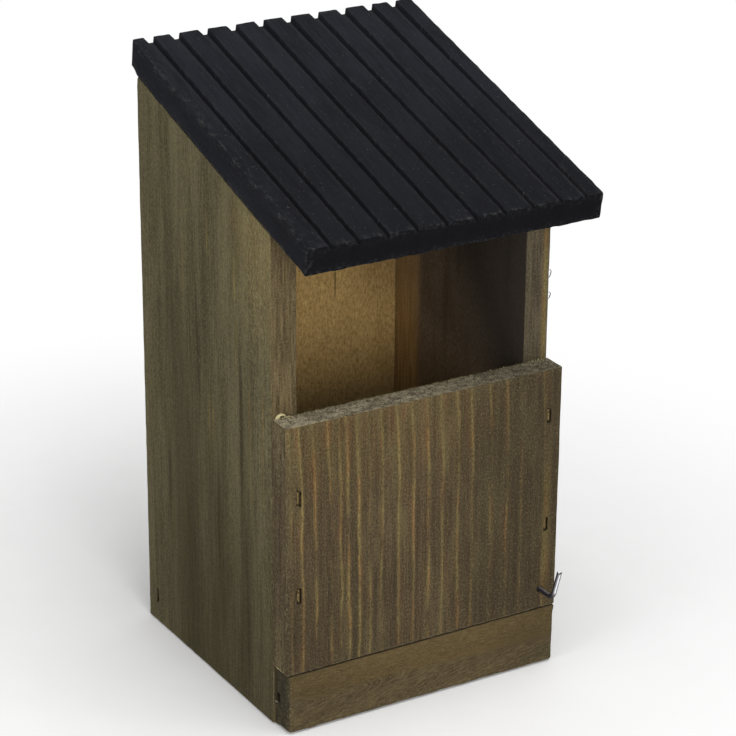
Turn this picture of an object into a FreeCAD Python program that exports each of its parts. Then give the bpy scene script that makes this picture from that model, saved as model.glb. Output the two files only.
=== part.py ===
# Robin nest box: an open-fronted box of stained boards under one thick grooved roof board.
# The floor slides out on two runners for cleaning, and an L-shaped hook turns down over its front strip.
# Millimetres, +Z up, +Y towards what the box hangs on.
# The origin is the foot of the back face, half way across.
import FreeCAD, Part
import math
import os
import Sketcher

# Driving dimensions: name, size, what it is
SIZES = [
    ("board", 12, "thickness of the walls, the floor and its front strip"),
    ("box_width", 133, "width over both sides"),
    ("side_depth", 115, "front to back length of a side"),
    ("back_height", 251.5, "height of a side at the back"),
    ("front_height", 216.5, "height of a side at the front"),
    ("front_top", 139, "height of the front panel's upper edge"),
    ("strip_height", 27, "height of the floor's front strip"),
    ("strip_gap", 0.4, "gap between the strip and the front panel"),
    ("strip_short", 1, "how far the strip stops short of the left face"),
    ("strip_round", 1.2, "rounding of the strip's upright front edges"),
    ("roof_thickness", 12, "thickness of the roof board"),
    ("roof_short", 1.55, "how far the roof stops short of the left face"),
    ("roof_over", 5.05, "how far the roof stands past the right face"),
    ("roof_front", 28.8, "roof beyond the sides at the front, along the slope"),
    ("roof_back", 7.8, "roof beyond the back face, level"),
    ("front_lean", 1.6, "set-back of the roof's upper front edge, along the slope"),
    ("back_lean", 2.3, "reach of the roof's upper back edge past the lower one"),
    ("groove_width", 4.2, "width of a roof groove"),
    ("groove_depth", 3.2, "depth of a roof groove"),
    ("groove_pitch", 13.5, "spacing of the roof's inner grooves"),
    ("edge_pitch", 12.1, "spacing of the outermost grooves from their neighbours"),
    ("groove_start", 20, "middle of the second groove from the roof's left edge"),
    ("edge_rib", 4, "least rib beside the last groove"),
    ("runner_width", 10, "width of a floor runner"),
    ("strip_lip", 4.5, "how far the strip stands above the floor"),
    ("floor_clearance", 0.5, "gap beside and behind the floor, and before the runners"),
    ("fixing_bore", 6, "diameter of the hole for the wall screw"),
    ("fixing_drop", 61.5, "that hole below the upper back edge"),
    ("hook_wire", 2.2, "diameter of the hook's wire"),
    ("hook_clearance", 0.1, "gap round the hook in its hole"),
    ("hook_out", 10, "front panel's face to the middle of the hook's leg"),
    ("hook_leg", 12.2, "middle of the hook's stem to the tip of its leg"),
    ("hook_bend", 2.4, "radius of the bend, on the middle of the wire"),
    ("hook_tilt", 15.6, "lean of the leg to the right, in degrees"),
    ("hook_edge", 8, "middle of the stem from the panel's right edge"),
    ("hook_rise", 9.1, "middle of the stem above the panel's lower edge"),
    ("hook_wall", 1, "wood left behind the hook's tip"),
    ("hook_chamfer", 0.4, "chamfer at both ends of the wire"),
    ("staple_crown", 5.8, "length of a staple's crown"),
    ("staple_wire", 1, "thickness of staple wire"),
    ("staple_width", 1.2, "width of staple wire"),
    ("staple_leg", 20, "height of a staple"),
    ("staple_sink", 1, "depth of a staple's crown below the wood"),
    ("left_staple_rise", 35.6, "lower left staple above the front panel's lower edge"),
    ("left_staple_drop", 32, "upper left staple below the panel's upper edge"),
    ("right_staple_rise", 39.6, "lower right staple above the panel's lower edge"),
    ("right_staple_drop", 21, "upper right staple below the panel's upper edge"),
    ("side_staple_height", 12.6, "height of a side's staple"),
    ("side_staple_off", 2.5, "a side's staple ahead of the middle of the back panel's edge"),
    ("brad_side", 1.2, "thickness of a square brad"),
    ("brad_length", 30, "length of the brads in the roof and the strip"),
    ("brad_sink", 0.8, "depth of a brad's end below the wood"),
    ("runner_brad", 17, "length of the brads in the runners"),
    ("runner_brad_end", 16, "distance of those brads from the runner's ends"),
    ("roof_brad_end", 14, "distance of the outer roof brads from a side's front and back, level"),
    ("roof_brad_left", 3.5, "how far the left roof brads stand to the right of the side's middle"),
    ("roof_brad_right", 1.2, "how far the right roof brads stand to the right of the side's middle"),
    ("strip_brad_reach", 38, "distance of the strip's brads from the middle of the box"),
]

# Places worked out from the driving dimensions
HALF_WIDTH = "(Sizes.box_width / 2)"
INNER_HALF = "(Sizes.box_width / 2 - Sizes.board)"
SIDE_MIDDLE = "((Sizes.box_width - Sizes.board) / 2)"
SIDE_FRONT = "(-Sizes.side_depth)"
FRONT_FACE = "(-Sizes.side_depth - Sizes.board)"
PANEL_FOOT = "(Sizes.strip_height + Sizes.strip_gap)"
BACK_INSIDE = "(-Sizes.board)"
ROOF_WIDTH = "(Sizes.box_width - Sizes.roof_short + Sizes.roof_over)"
STRIP_LENGTH = "(Sizes.box_width - Sizes.strip_short)"
SLOPE = "atan((Sizes.back_height - Sizes.front_height) / Sizes.side_depth)"
FLOOR_FOOT = "(Sizes.strip_height - Sizes.strip_lip - Sizes.board)"
FLOOR_MIDDLE = "(Sizes.strip_height - Sizes.strip_lip - Sizes.board / 2)"
RUNNER_START = "(-Sizes.side_depth + Sizes.floor_clearance)"
HOOK_IN = "(Sizes.board - Sizes.hook_wall)"
HOOK_X = "(Sizes.box_width / 2 - Sizes.hook_edge)"
HOOK_Z = "(Sizes.strip_height + Sizes.strip_gap + Sizes.hook_rise)"
# How far a cutting shape stands out of the wood that it cuts
OPEN_END = "1"
# Size that sketches are roughed out at, before their dimensions take hold
ROUGH = 10.0

# Directions that staples and brads are driven in, from a shape that points down with its crown along Y
X_AXIS = FreeCAD.Vector(1, 0, 0)
Y_AXIS = FreeCAD.Vector(0, 1, 0)
Z_AXIS = FreeCAD.Vector(0, 0, 1)
NO_TURN = FreeCAD.Rotation()
INTO_FRONT = FreeCAD.Rotation(X_AXIS, 90)
RIGHTWARDS = FreeCAD.Rotation(Z_AXIS, -90) * FreeCAD.Rotation(X_AXIS, 90)
LEFTWARDS = FreeCAD.Rotation(Z_AXIS, 90) * FreeCAD.Rotation(X_AXIS, 90)

doc = FreeCAD.newDocument("robin_nest_box")
nodes = []


def make_sheet():
    """The spreadsheet of driving dimensions."""
    sheet = doc.addObject("Spreadsheet::Sheet", "Sizes")
    for row, (name, size, note) in enumerate(SIZES, start=1):
        sheet.set(f"A{row}", name)
        sheet.set(f"B{row}", str(size))
        sheet.set(f"C{row}", note)
        sheet.setAlias(f"B{row}", name)
    doc.recompute()


def node(item, label):
    """Keep a finished piece under the name of its file."""
    item.Label = label
    nodes.append(item)
    return item


def set_at(item, place, turn=NO_TURN):
    """Put an item at a place given by three expressions, turned as it is driven."""
    item.Placement = FreeCAD.Placement(FreeCAD.Vector(), turn)
    for axis, expression in zip("xyz", place):
        item.setExpression(f"Placement.Base.{axis}", expression)


def lean(item, axis, angle):
    """Turn a placed item about an axis by an angle given as an expression."""
    item.Placement = FreeCAD.Placement(FreeCAD.Vector(), FreeCAD.Rotation(axis, 1))
    item.setExpression("Placement.Rotation.Angle", angle)


def box(name, size, corner):
    """A square-edged block from its three sizes and its least corner."""
    item = doc.addObject("Part::Box", name)
    for side, expression in zip(("Length", "Width", "Height"), size):
        item.setExpression(side, expression)
    set_at(item, corner)
    return item


def compound(name, items):
    """Several shapes that stay separate solids."""
    item = doc.addObject("Part::Compound", name)
    item.Links = items
    return item


def cut(name, base, tools):
    """A piece with holes and channels cut out of it."""
    item = doc.addObject("Part::Cut", name)
    item.Base = base
    item.Tool = compound(name + "_tools", tools)
    return item


def new_sketch(body, role, name):
    """An empty sketch on one of the body's own origin planes."""
    sketch = body.newObject("Sketcher::SketchObject", name)
    plane = next(item for item in body.Origin.OriginFeatures if item.Role == role)
    sketch.AttachmentSupport = [(plane, "")]
    sketch.MapMode = "FlatFace"
    return sketch


def dimension(sketch, kind, ends, expression):
    """A sketch dimension that follows an expression."""
    index = sketch.addConstraint(Sketcher.Constraint(kind, *ends, ROUGH))
    sketch.setExpression(f"Constraints[{index}]", expression)


def outline(body, role, name, corners):
    """A four-sided outline whose corners are pairs of expressions, none of them negative."""
    sketch = new_sketch(body, role, name)
    rough = [FreeCAD.Vector(x, y, 0) for x, y in ((0, 0), (ROUGH, 0), (ROUGH, ROUGH), (0, ROUGH))]
    for i in range(4):
        sketch.addGeometry(Part.LineSegment(rough[i], rough[(i + 1) % 4]), False)
    for i in range(4):
        sketch.addConstraint(Sketcher.Constraint("Coincident", i, 2, (i + 1) % 4, 1))
    for i, (across, up) in enumerate(corners):
        for kind, expression, axis in (("DistanceX", across, -2), ("DistanceY", up, -1)):
            if expression == "0":
                sketch.addConstraint(Sketcher.Constraint("PointOnObject", i, 1, axis))
            else:
                dimension(sketch, kind, (-1, 1, i, 1), expression)
    return sketch


def pad(body, name, sketch, length):
    """A board as thick as the pad is long."""
    item = body.newObject("PartDesign::Pad", name)
    item.Profile = sketch
    item.setExpression("Length", length)
    return item


def through_pocket(body, name, sketch):
    """A cut right through, from the sketch's plane towards +Y."""
    item = body.newObject("PartDesign::Pocket", name)
    item.Profile = sketch
    item.Type = "ThroughAll"
    return item


def staple(name, leg, sink, crown_top):
    """A U of flat wire that points down, its crown along Y. The wood's face is at z = 0."""
    crown_foot = f"(-{sink} - Sizes.staple_wire)"
    leg_foot = f"(-{sink} - {leg})"
    left = "(-Sizes.staple_width / 2)"
    ends = ("(-Sizes.staple_crown / 2)", "(Sizes.staple_crown / 2 - Sizes.staple_wire)")
    wires = [box(
        name + "_crown",
        ("Sizes.staple_width", "Sizes.staple_crown", f"{crown_top} - {crown_foot}"),
        (left, ends[0], crown_foot),
    )]
    for i, end in enumerate(ends):
        wires.append(box(
            f"{name}_leg{i}",
            ("Sizes.staple_width", "Sizes.staple_wire", f"{leg} - Sizes.staple_wire"),
            (left, end, leg_foot),
        ))
    item = doc.addObject("Part::MultiFuse", name)
    item.Shapes = wires
    item.Refine = True
    return item


def brad(name, length, sink, top):
    """A headless square nail that points down. The wood's face is at z = 0."""
    foot = f"(-{sink} - {length})"
    edge = "(-Sizes.brad_side / 2)"
    return box(name, ("Sizes.brad_side", "Sizes.brad_side", f"{top} - {foot}"), (edge, edge, foot))


def drive(name, make, length, sink, places, slope=None):
    """Drive one staple or brad at each place: the fixings themselves, and the channels that they leave."""
    fixings = []
    channels = []
    for i, (place, turn) in enumerate(places):
        for kept, kind, top in ((fixings, "", f"(-{sink})"), (channels, "_channel", OPEN_END)):
            shape = make(f"{name}{i}{kind}", length, sink, top)
            driven = compound(f"{name}{i}{kind}_driven", [shape])
            set_at(driven, place, turn)
            if slope:
                lean(driven, X_AXIS, slope)
            kept.append(driven)
    return fixings, channels


def front_staples():
    """Four staples through the front panel into the front edges of the sides."""
    heights = (
        ("-", f"{PANEL_FOOT} + Sizes.left_staple_rise"),
        ("-", "Sizes.front_top - Sizes.left_staple_drop"),
        ("", f"{PANEL_FOOT} + Sizes.right_staple_rise"),
        ("", "Sizes.front_top - Sizes.right_staple_drop"),
    )
    places = [((sign + SIDE_MIDDLE, FRONT_FACE, height), INTO_FRONT) for sign, height in heights]
    return drive("front_staple", staple, "Sizes.staple_leg", "Sizes.staple_sink", places)


def side_staples():
    """One staple near the foot of each side, into the edge of the back panel."""
    back = "-Sizes.board / 2 - Sizes.side_staple_off"
    places = [
        (("-" + HALF_WIDTH, back, "Sizes.side_staple_height"), RIGHTWARDS),
        ((HALF_WIDTH, back, "Sizes.side_staple_height"), LEFTWARDS),
    ]
    return drive("side_staple", staple, "Sizes.staple_leg", "Sizes.staple_sink", places)


def roof_brads():
    """Three brads through the roof into the top of each side, square to it and sunk below its grooves."""
    places = []
    for across in (f"Sizes.roof_brad_left - {SIDE_MIDDLE}", f"Sizes.roof_brad_right + {SIDE_MIDDLE}"):
        for share in ("0", "0.5", "1"):
            along = f"(Sizes.roof_brad_end + {share} * (Sizes.side_depth - 2 * Sizes.roof_brad_end))"
            back = f"(-{along} - Sizes.roof_thickness * sin({SLOPE}))"
            rise = f"(Sizes.back_height - {along} * tan({SLOPE}) + Sizes.roof_thickness * cos({SLOPE}))"
            places.append(((across, back, rise), NO_TURN))
    sink = "(Sizes.groove_depth + Sizes.brad_sink)"
    return drive("roof_brad", brad, "Sizes.brad_length", sink, places, SLOPE)


def runner_brads():
    """Two brads through each runner into its side."""
    middle = f"({FLOOR_FOOT} / 2)"
    inside = f"({INNER_HALF} - Sizes.runner_width)"
    ends = (f"{RUNNER_START} + Sizes.runner_brad_end", f"{BACK_INSIDE} - Sizes.runner_brad_end")
    places = [(("-" + inside, end, middle), LEFTWARDS) for end in ends]
    places += [((inside, end, middle), RIGHTWARDS) for end in ends]
    return drive("runner_brad", brad, "Sizes.runner_brad", "Sizes.brad_sink", places)


def strip_brads():
    """Two brads through the strip into the front edge of the floor."""
    places = [((sign + "Sizes.strip_brad_reach", FRONT_FACE, FLOOR_MIDDLE), INTO_FRONT) for sign in ("-", "")]
    return drive("strip_brad", brad, "Sizes.brad_length", "Sizes.brad_sink", places)


def side_board(name, left_face):
    """An upright side with its top cut to the roof's slope."""
    body = doc.addObject("PartDesign::Body", name)
    corners = (
        ("0", "0"),
        ("Sizes.side_depth", "0"),
        ("Sizes.side_depth", "Sizes.back_height"),
        ("0", "Sizes.front_height"),
    )
    sketch = outline(body, "YZ_Plane", name + "_outline", corners)
    pad(body, name + "_pad", sketch, "Sizes.board")
    set_at(body, (left_face, SIDE_FRONT, "0"))
    return body


def back_board():
    """The back between the sides, with its top cut to the slope and the hole for the wall screw."""
    body = doc.addObject("PartDesign::Body", "back_board")
    corners = (
        ("0", "0"),
        ("Sizes.board", "0"),
        ("Sizes.board", "Sizes.back_height"),
        ("0", f"Sizes.back_height - Sizes.board * tan({SLOPE})"),
    )
    sketch = outline(body, "YZ_Plane", "back_outline", corners)
    pad(body, "back_pad", sketch, f"2 * {INNER_HALF}")
    hole = new_sketch(body, "XZ_Plane", "fixing_circle")
    hole.addGeometry(Part.Circle(FreeCAD.Vector(ROUGH, ROUGH, 0), Z_AXIS, ROUGH / 2), False)
    dimension(hole, "DistanceX", (-1, 1, 0, 3), INNER_HALF)
    dimension(hole, "DistanceY", (-1, 1, 0, 3), "Sizes.back_height - Sizes.fixing_drop")
    dimension(hole, "Diameter", (0,), "Sizes.fixing_bore")
    through_pocket(body, "fixing_hole", hole)
    set_at(body, ("-" + INNER_HALF, BACK_INSIDE, "0"))
    return body


def groove(body, name, middle):
    """One square groove down the slope, its middle given from the roof's left edge."""
    left = f"{middle} - Sizes.groove_width / 2"
    right = f"{middle} + Sizes.groove_width / 2"
    floor = "Sizes.roof_thickness - Sizes.groove_depth"
    above = f"Sizes.roof_thickness + {OPEN_END}"
    square = ((left, floor), (right, floor), (right, above), (left, above))
    return through_pocket(body, name, outline(body, "XZ_Plane", name + "_outline", square))


def roof_blank():
    """The roof board, with its grooves down the slope. The outermost two stand closer to their neighbours."""
    body = doc.addObject("PartDesign::Body", "roof_blank")
    under = f"((Sizes.side_depth + Sizes.roof_back) / cos({SLOPE}) + Sizes.roof_front)"
    corners = (
        ("0", "0"),
        (under, "0"),
        (f"{under} + Sizes.back_lean", "Sizes.roof_thickness"),
        ("Sizes.front_lean", "Sizes.roof_thickness"),
    )
    sketch = outline(body, "YZ_Plane", "roof_outline", corners)
    pad(body, "roof_pad", sketch, ROOF_WIDTH)

    last_edge = "(Sizes.edge_pitch + Sizes.groove_width / 2 + Sizes.edge_rib)"
    room = f"({ROOF_WIDTH} - Sizes.groove_start - {last_edge})"
    steps = f"floor({room} / Sizes.groove_pitch)"
    groove(body, "left_groove", "(Sizes.groove_start - Sizes.edge_pitch)")
    groove(body, "right_groove", f"(Sizes.groove_start + {steps} * Sizes.groove_pitch + Sizes.edge_pitch)")
    inner = groove(body, "inner_groove", "Sizes.groove_start")
    pattern = body.newObject("PartDesign::LinearPattern", "inner_grooves")
    pattern.Originals = [inner]
    across = next(item for item in body.Origin.OriginFeatures if item.Role == "X_Axis")
    pattern.Direction = (across, [""])
    pattern.setExpression("Occurrences", f"{steps} + 1")
    pattern.setExpression("Length", f"{steps} * Sizes.groove_pitch")
    body.Tip = pattern

    set_at(body, (
        f"Sizes.roof_short - {HALF_WIDTH}",
        f"{SIDE_FRONT} - Sizes.roof_front * cos({SLOPE})",
        f"Sizes.front_height - Sizes.roof_front * sin({SLOPE})",
    ))
    lean(body, X_AXIS, SLOPE)
    return body


def strip_blank():
    """The strip on the floor's front edge, with its upright front edges slightly rounded."""
    body = doc.addObject("PartDesign::Body", "strip_blank")
    square = (("0", "0"), (STRIP_LENGTH, "0"), (STRIP_LENGTH, "Sizes.board"), ("0", "Sizes.board"))
    base = pad(body, "strip_pad", outline(body, "XY_Plane", "strip_outline", square), "Sizes.strip_height")
    doc.recompute()
    upright = [
        f"Edge{i}" for i, edge in enumerate(base.Shape.Edges, start=1)
        if edge.BoundBox.ZLength > edge.BoundBox.XLength + edge.BoundBox.YLength
        and edge.BoundBox.YMax < base.Shape.BoundBox.Center.y
    ]
    rounding = body.newObject("PartDesign::Fillet", "strip_rounding")
    rounding.Base = (base, upright)
    rounding.setExpression("Radius", "Sizes.strip_round")
    set_at(body, (f"Sizes.strip_short - {HALF_WIDTH}", FRONT_FACE, "0"))
    return body


def bent_hook():
    """An L of round wire: a stem straight out of the front panel, and a leg that stands up from it."""
    body = doc.addObject("PartDesign::Body", "bent_hook")
    path = new_sketch(body, "YZ_Plane", "hook_path")
    bend = Part.Circle(FreeCAD.Vector(-ROUGH, ROUGH, 0), Z_AXIS, ROUGH)
    path.addGeometry(Part.LineSegment(FreeCAD.Vector(0, 0, 0), FreeCAD.Vector(-ROUGH, 0, 0)), False)
    path.addGeometry(Part.ArcOfCircle(bend, math.pi, 1.5 * math.pi), False)
    leg_ends = (FreeCAD.Vector(-2 * ROUGH, ROUGH, 0), FreeCAD.Vector(-2 * ROUGH, 2 * ROUGH, 0))
    path.addGeometry(Part.LineSegment(*leg_ends), False)
    path.addConstraint(Sketcher.Constraint("Coincident", 0, 1, -1, 1))
    path.addConstraint(Sketcher.Constraint("Horizontal", 0))
    path.addConstraint(Sketcher.Constraint("Vertical", 2))
    path.addConstraint(Sketcher.Constraint("Tangent", 0, 2, 1, 2))
    path.addConstraint(Sketcher.Constraint("Tangent", 1, 1, 2, 1))
    dimension(path, "Radius", (1,), "Sizes.hook_bend")
    dimension(path, "DistanceX", (0, 2, 0, 1), f"{HOOK_IN} + Sizes.hook_out - Sizes.hook_bend")
    dimension(path, "DistanceY", (2, 1, 2, 2), "Sizes.hook_leg - Sizes.hook_bend")
    section = new_sketch(body, "XZ_Plane", "hook_section")
    section.addGeometry(Part.Circle(FreeCAD.Vector(0, 0, 0), Z_AXIS, ROUGH / 2), False)
    section.addConstraint(Sketcher.Constraint("Coincident", 0, 3, -1, 1))
    dimension(section, "Diameter", (0,), "Sizes.hook_wire")
    wire = body.newObject("PartDesign::AdditivePipe", "hook_pipe")
    wire.Profile = section
    wire.Spine = path
    doc.recompute()
    ends = [
        f"Face{i}" for i, face in enumerate(wire.Shape.Faces, start=1)
        if face.Surface.TypeId == "Part::GeomPlane"
    ]
    tips = body.newObject("PartDesign::Chamfer", "hook_tips")
    tips.Base = (wire, ends)
    tips.setExpression("Size", "Sizes.hook_chamfer")
    set_at(body, (HOOK_X, f"{FRONT_FACE} + {HOOK_IN}", HOOK_Z))
    lean(body, Y_AXIS, "Sizes.hook_tilt")
    return body


def pilot_hole():
    """The hole in the front panel that the hook turns in."""
    item = doc.addObject("Part::Cylinder", "pilot_hole")
    item.setExpression("Radius", "Sizes.hook_wire / 2 + Sizes.hook_clearance")
    item.setExpression("Height", f"{HOOK_IN} + Sizes.hook_clearance + {OPEN_END}")
    set_at(item, (HOOK_X, f"{FRONT_FACE} - {OPEN_END}", HOOK_Z), FreeCAD.Rotation(X_AXIS, -90))
    return item


def build():
    """Every piece of the box, in the order that it is put together."""
    front_fixings, front_channels = front_staples()
    side_fixings, side_channels = side_staples()
    roof_fixings, roof_channels = roof_brads()
    runner_fixings, runner_channels = runner_brads()
    strip_fixings, strip_channels = strip_brads()

    left_tools = [*front_channels[:2], side_channels[0], *roof_channels[:3], *runner_channels[:2]]
    right_tools = [*front_channels[2:], side_channels[1], *roof_channels[3:], *runner_channels[2:]]
    node(cut("left_side", side_board("left_board", "-" + HALF_WIDTH), left_tools), "left_side")
    node(cut("right_side", side_board("right_board", INNER_HALF), right_tools), "right_side")
    node(cut("back_panel", back_board(), side_channels), "back_panel")

    front_blank = box(
        "front_blank",
        ("Sizes.box_width", "Sizes.board", f"Sizes.front_top - {PANEL_FOOT}"),
        ("-" + HALF_WIDTH, FRONT_FACE, PANEL_FOOT),
    )
    node(cut("front_panel", front_blank, [*front_channels, pilot_hole()]), "front_panel")
    node(cut("roof_board", roof_blank(), roof_channels), "roof_board")

    for name, edge, tools in (
        ("left_runner", "-" + INNER_HALF, runner_channels[:2]),
        ("right_runner", f"{INNER_HALF} - Sizes.runner_width", runner_channels[2:]),
    ):
        blank = box(
            name + "_blank",
            ("Sizes.runner_width", f"{BACK_INSIDE} - {RUNNER_START}", FLOOR_FOOT),
            (edge, RUNNER_START, "0"),
        )
        node(cut(name, blank, tools), name)

    floor_blank = box(
        "floor_blank",
        (
            f"2 * ({INNER_HALF} - Sizes.floor_clearance)",
            "Sizes.side_depth - Sizes.board - Sizes.floor_clearance",
            "Sizes.board",
        ),
        (f"-{INNER_HALF} + Sizes.floor_clearance", SIDE_FRONT, FLOOR_FOOT),
    )
    node(cut("floor_board", floor_blank, strip_channels), "floor_board")
    node(cut("floor_front", strip_blank(), strip_channels), "floor_front")
    node(bent_hook(), "turn_hook")

    for name, fixings in (
        ("front_staples", front_fixings),
        ("side_staples", side_fixings),
        ("roof_brads", roof_fixings),
        ("runner_brads", runner_fixings),
        ("floor_brads", strip_fixings),
    ):
        node(compound(name, fixings), name)


def check():
    """Stop if any object failed or any piece has no sound shape."""
    for item in doc.Objects:
        if "Invalid" in item.State or "Error" in item.State:
            raise RuntimeError(f"{item.Name} failed: {item.State}")
    for item in nodes:
        if item.Shape.isNull() or not item.Shape.isValid():
            raise RuntimeError(f"{item.Label} has no sound shape")
        if not item.Shape.Solids:
            raise RuntimeError(f"{item.Label} has no solid")


def write():
    """One file for each piece."""
    os.makedirs("parts", exist_ok=True)
    for item in nodes:
        item.Shape.exportStep(f"parts/{item.Label}.step")
        extent = item.Shape.BoundBox
        print(
            f"{item.Label}: {len(item.Shape.Solids)} solid(s), {item.Shape.Volume:.1f} mm3,"
            f" {extent.XLength:.1f} x {extent.YLength:.1f} x {extent.ZLength:.1f} mm"
        )


make_sheet()
build()
doc.recompute()
check()
write()
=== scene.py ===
# %% [markdown]
# # A robin nest box
#
# The box is already built as solid boards, staples, brads and a hook. This lesson gives those pieces
# their looks: worn edges, raised grain, sunk staples, stained softwood and a black sawn roof. Every piece
# stays where the imported model has it, so the first cell loads that model.

# %% Load the imported model
import math

import bpy
import numpy as np
from mathutils import Matrix, Vector


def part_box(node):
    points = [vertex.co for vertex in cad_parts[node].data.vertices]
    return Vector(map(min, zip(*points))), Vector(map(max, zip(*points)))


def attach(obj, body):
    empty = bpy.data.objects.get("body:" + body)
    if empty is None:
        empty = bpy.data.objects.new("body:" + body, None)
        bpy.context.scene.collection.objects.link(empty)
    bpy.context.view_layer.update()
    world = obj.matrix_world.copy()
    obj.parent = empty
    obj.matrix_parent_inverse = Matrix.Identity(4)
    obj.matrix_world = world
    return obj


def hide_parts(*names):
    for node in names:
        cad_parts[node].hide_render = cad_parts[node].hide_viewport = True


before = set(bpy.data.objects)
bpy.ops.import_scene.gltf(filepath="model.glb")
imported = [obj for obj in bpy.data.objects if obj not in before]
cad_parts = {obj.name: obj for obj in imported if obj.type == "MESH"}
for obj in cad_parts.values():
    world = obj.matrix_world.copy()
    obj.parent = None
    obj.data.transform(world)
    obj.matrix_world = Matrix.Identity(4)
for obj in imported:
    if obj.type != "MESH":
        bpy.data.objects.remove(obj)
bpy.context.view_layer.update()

MM = 0.001


# %% [markdown]
# Real boards are never quite flat or straight, so most cells below need smooth random values. Blender has
# noise in its shaders, but a shape needs numbers for each point. A lattice of hashed values, blended
# between its corners, gives the same numbers on every run, and one call can serve a whole board.

# %% Smooth random values for shapes
HASH_AXES = np.array([73856093, 19349663, 83492791], np.uint64)
HASH_SEED = 2654435761
HASH_ROUNDS = ((15, 2246822519), (13, 3266489917), (16, 668265263))


def lumps(points, size, seed):
    """Smooth values from -1 to 1 at points in mm, in lumps of a size: one number, or one for each axis."""
    cell = points / np.asarray(size, float)
    base = np.floor(cell).astype(np.int64)
    part = cell - base
    part = part * part * (3 - 2 * part)
    total = np.zeros(len(points))
    for corner in np.ndindex(2, 2, 2):
        key = (base + corner).astype(np.uint64) * HASH_AXES
        key = key[:, 0] ^ key[:, 1] ^ key[:, 2] ^ np.uint64(seed * HASH_SEED % 2**32)
        for shift, factor in HASH_ROUNDS:
            key = (key ^ (key >> np.uint64(shift))) * np.uint64(factor) % np.uint64(2**32)
        weight = np.prod(np.where(corner, part, 1 - part), axis=1)
        total += weight * (key / 2**31 - 1)
    return total


def smooth(value, low, high):
    """0 below low, 1 above high, and an even rise between."""
    share = np.clip((value - low) / (high - low), 0, 1)
    return share * share * (3 - 2 * share)


def hump(value, middle, width):
    """1 at a middle value, and an even fall on both sides of it."""
    return np.exp(-(((value - middle) / width) ** 2))


sample = lumps(np.random.default_rng(1).random((999, 3)) * 50, 3, 1)
print("spread of the random values:", np.round(sample.std(), 2))


# %% [markdown]
# A board could be a cube with a bevel, but then its faces would have no points to raise grain or sink a
# staple with. So each board is the skin of a block of grid lines. The lines crowd together in the rims,
# where the edge is rounded, and wherever a board has a small feature. Rounding pulls each point towards
# the block's core, which also gives the direction out of the wood.

# %% Grid lines and skin of a block
RIM_LINES = np.array([0, 0.25, 0.6, 1])
LINE_GAP = 0.12


def lines(low, high, step, rim, extra=()):
    """Grid lines across a board: crowded in both rims, about a step apart between, and the extra ones."""
    near = rim * RIM_LINES
    between = np.linspace(low + rim, high - rim, max(1, round((high - low - 2 * rim) / step)) + 1)
    extra = np.asarray(extra, float)
    if len(extra):
        between = between[np.abs(between[:, None] - extra).min(axis=1) > LINE_GAP]
    return np.unique(np.round(np.concatenate([low + near, between, extra, high - near]), 4))


def skin(xs, ys, zs):
    """Points and outward quads on the skin of a block of grid lines."""
    shape = (len(xs), len(ys), len(zs))
    ids = np.arange(np.prod(shape)).reshape(shape)
    sheets = ((ids[0], ids[-1]), (ids[:, 0].T, ids[:, -1].T), (ids[:, :, 0], ids[:, :, -1]))
    quads = []
    for near, far in sheets:
        for sheet in (near, far[:, ::-1]):
            ring = (sheet[:-1, :-1], sheet[:-1, 1:], sheet[1:, 1:], sheet[1:, :-1])
            quads.append(np.stack([corner.ravel() for corner in ring], axis=1))
    used, quads = np.unique(np.concatenate(quads), return_inverse=True)
    i, j, k = np.unravel_index(used, shape)
    return np.stack([xs[i], ys[j], zs[k]], axis=1), quads.reshape(-1, 4)


print("lines across a 12 mm board:", len(lines(0, 12, 2.0, 0.7)))


# %% A board while it is shaped
RIM_LUMPS = 5
WEAR_REACH = 1.6


class Board:
    """A board's points in mm, the way out of the wood at each, and its painted masks.

    flat, and with it x, y and z, keeps the places that the points had before they were shaped."""

    def __init__(self, low, high, steps, rim, seed, extra=((), (), ()), ragged=0.35):
        self.low, self.high, self.seed = np.array(low, float), np.array(high, float), seed
        grid = [lines(*span) for span in zip(self.low, self.high, steps, (rim,) * 3, extra)]
        self.flat, self.quads = skin(*grid)
        self.x, self.y, self.z = self.flat.T
        radius = rim * (1 - ragged * (0.5 - 0.5 * lumps(self.flat, RIM_LUMPS, seed)))
        core = np.clip(self.flat, self.low + radius[:, None], self.high - radius[:, None])
        out = self.flat - core
        self.out = out / np.linalg.norm(out, axis=1, keepdims=True)
        self.points = core + radius[:, None] * self.out
        near = np.sort(np.minimum(self.flat - self.low, self.high - self.flat), axis=1)
        self.masks = {"wear": np.exp(-near[:, 1] / (WEAR_REACH * rim))}

    def sink(self, depth):
        """Move each point into the wood."""
        self.points -= self.out * np.asarray(depth)[:, None]

    def raise_mask(self, name, values):
        """Let a mask be as strong as these values where they are stronger."""
        self.masks[name] = np.maximum(self.masks.get(name, 0), values)

    def square_off(self, axis, sign, share=0.9):
        """Keep the edges of one end square and unworn, where another board covers them."""
        end = self.high[axis] if sign > 0 else self.low[axis]
        close = share * (1 - smooth(np.abs(end - self.flat[:, axis]), 0.5, 4))
        self.points += close[:, None] * (self.flat - self.points)
        self.masks["wear"] *= 1 - close

    def facing(self, axis, sign):
        """1 on the side of the board that faces one way, 0 round the corner."""
        return smooth(self.out[:, axis] * sign, 0.6, 0.8)


def from_node(node, *args, **kwargs):
    """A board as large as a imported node."""
    low, high = (np.array(corner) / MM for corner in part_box(node))
    return Board(low, high, *args, **kwargs)


coarse = from_node("front_panel", (6, 6, 6), 1.0, 1)
print("a coarse front panel has", len(coarse.points), "points and", len(coarse.quads), "quads")


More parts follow.
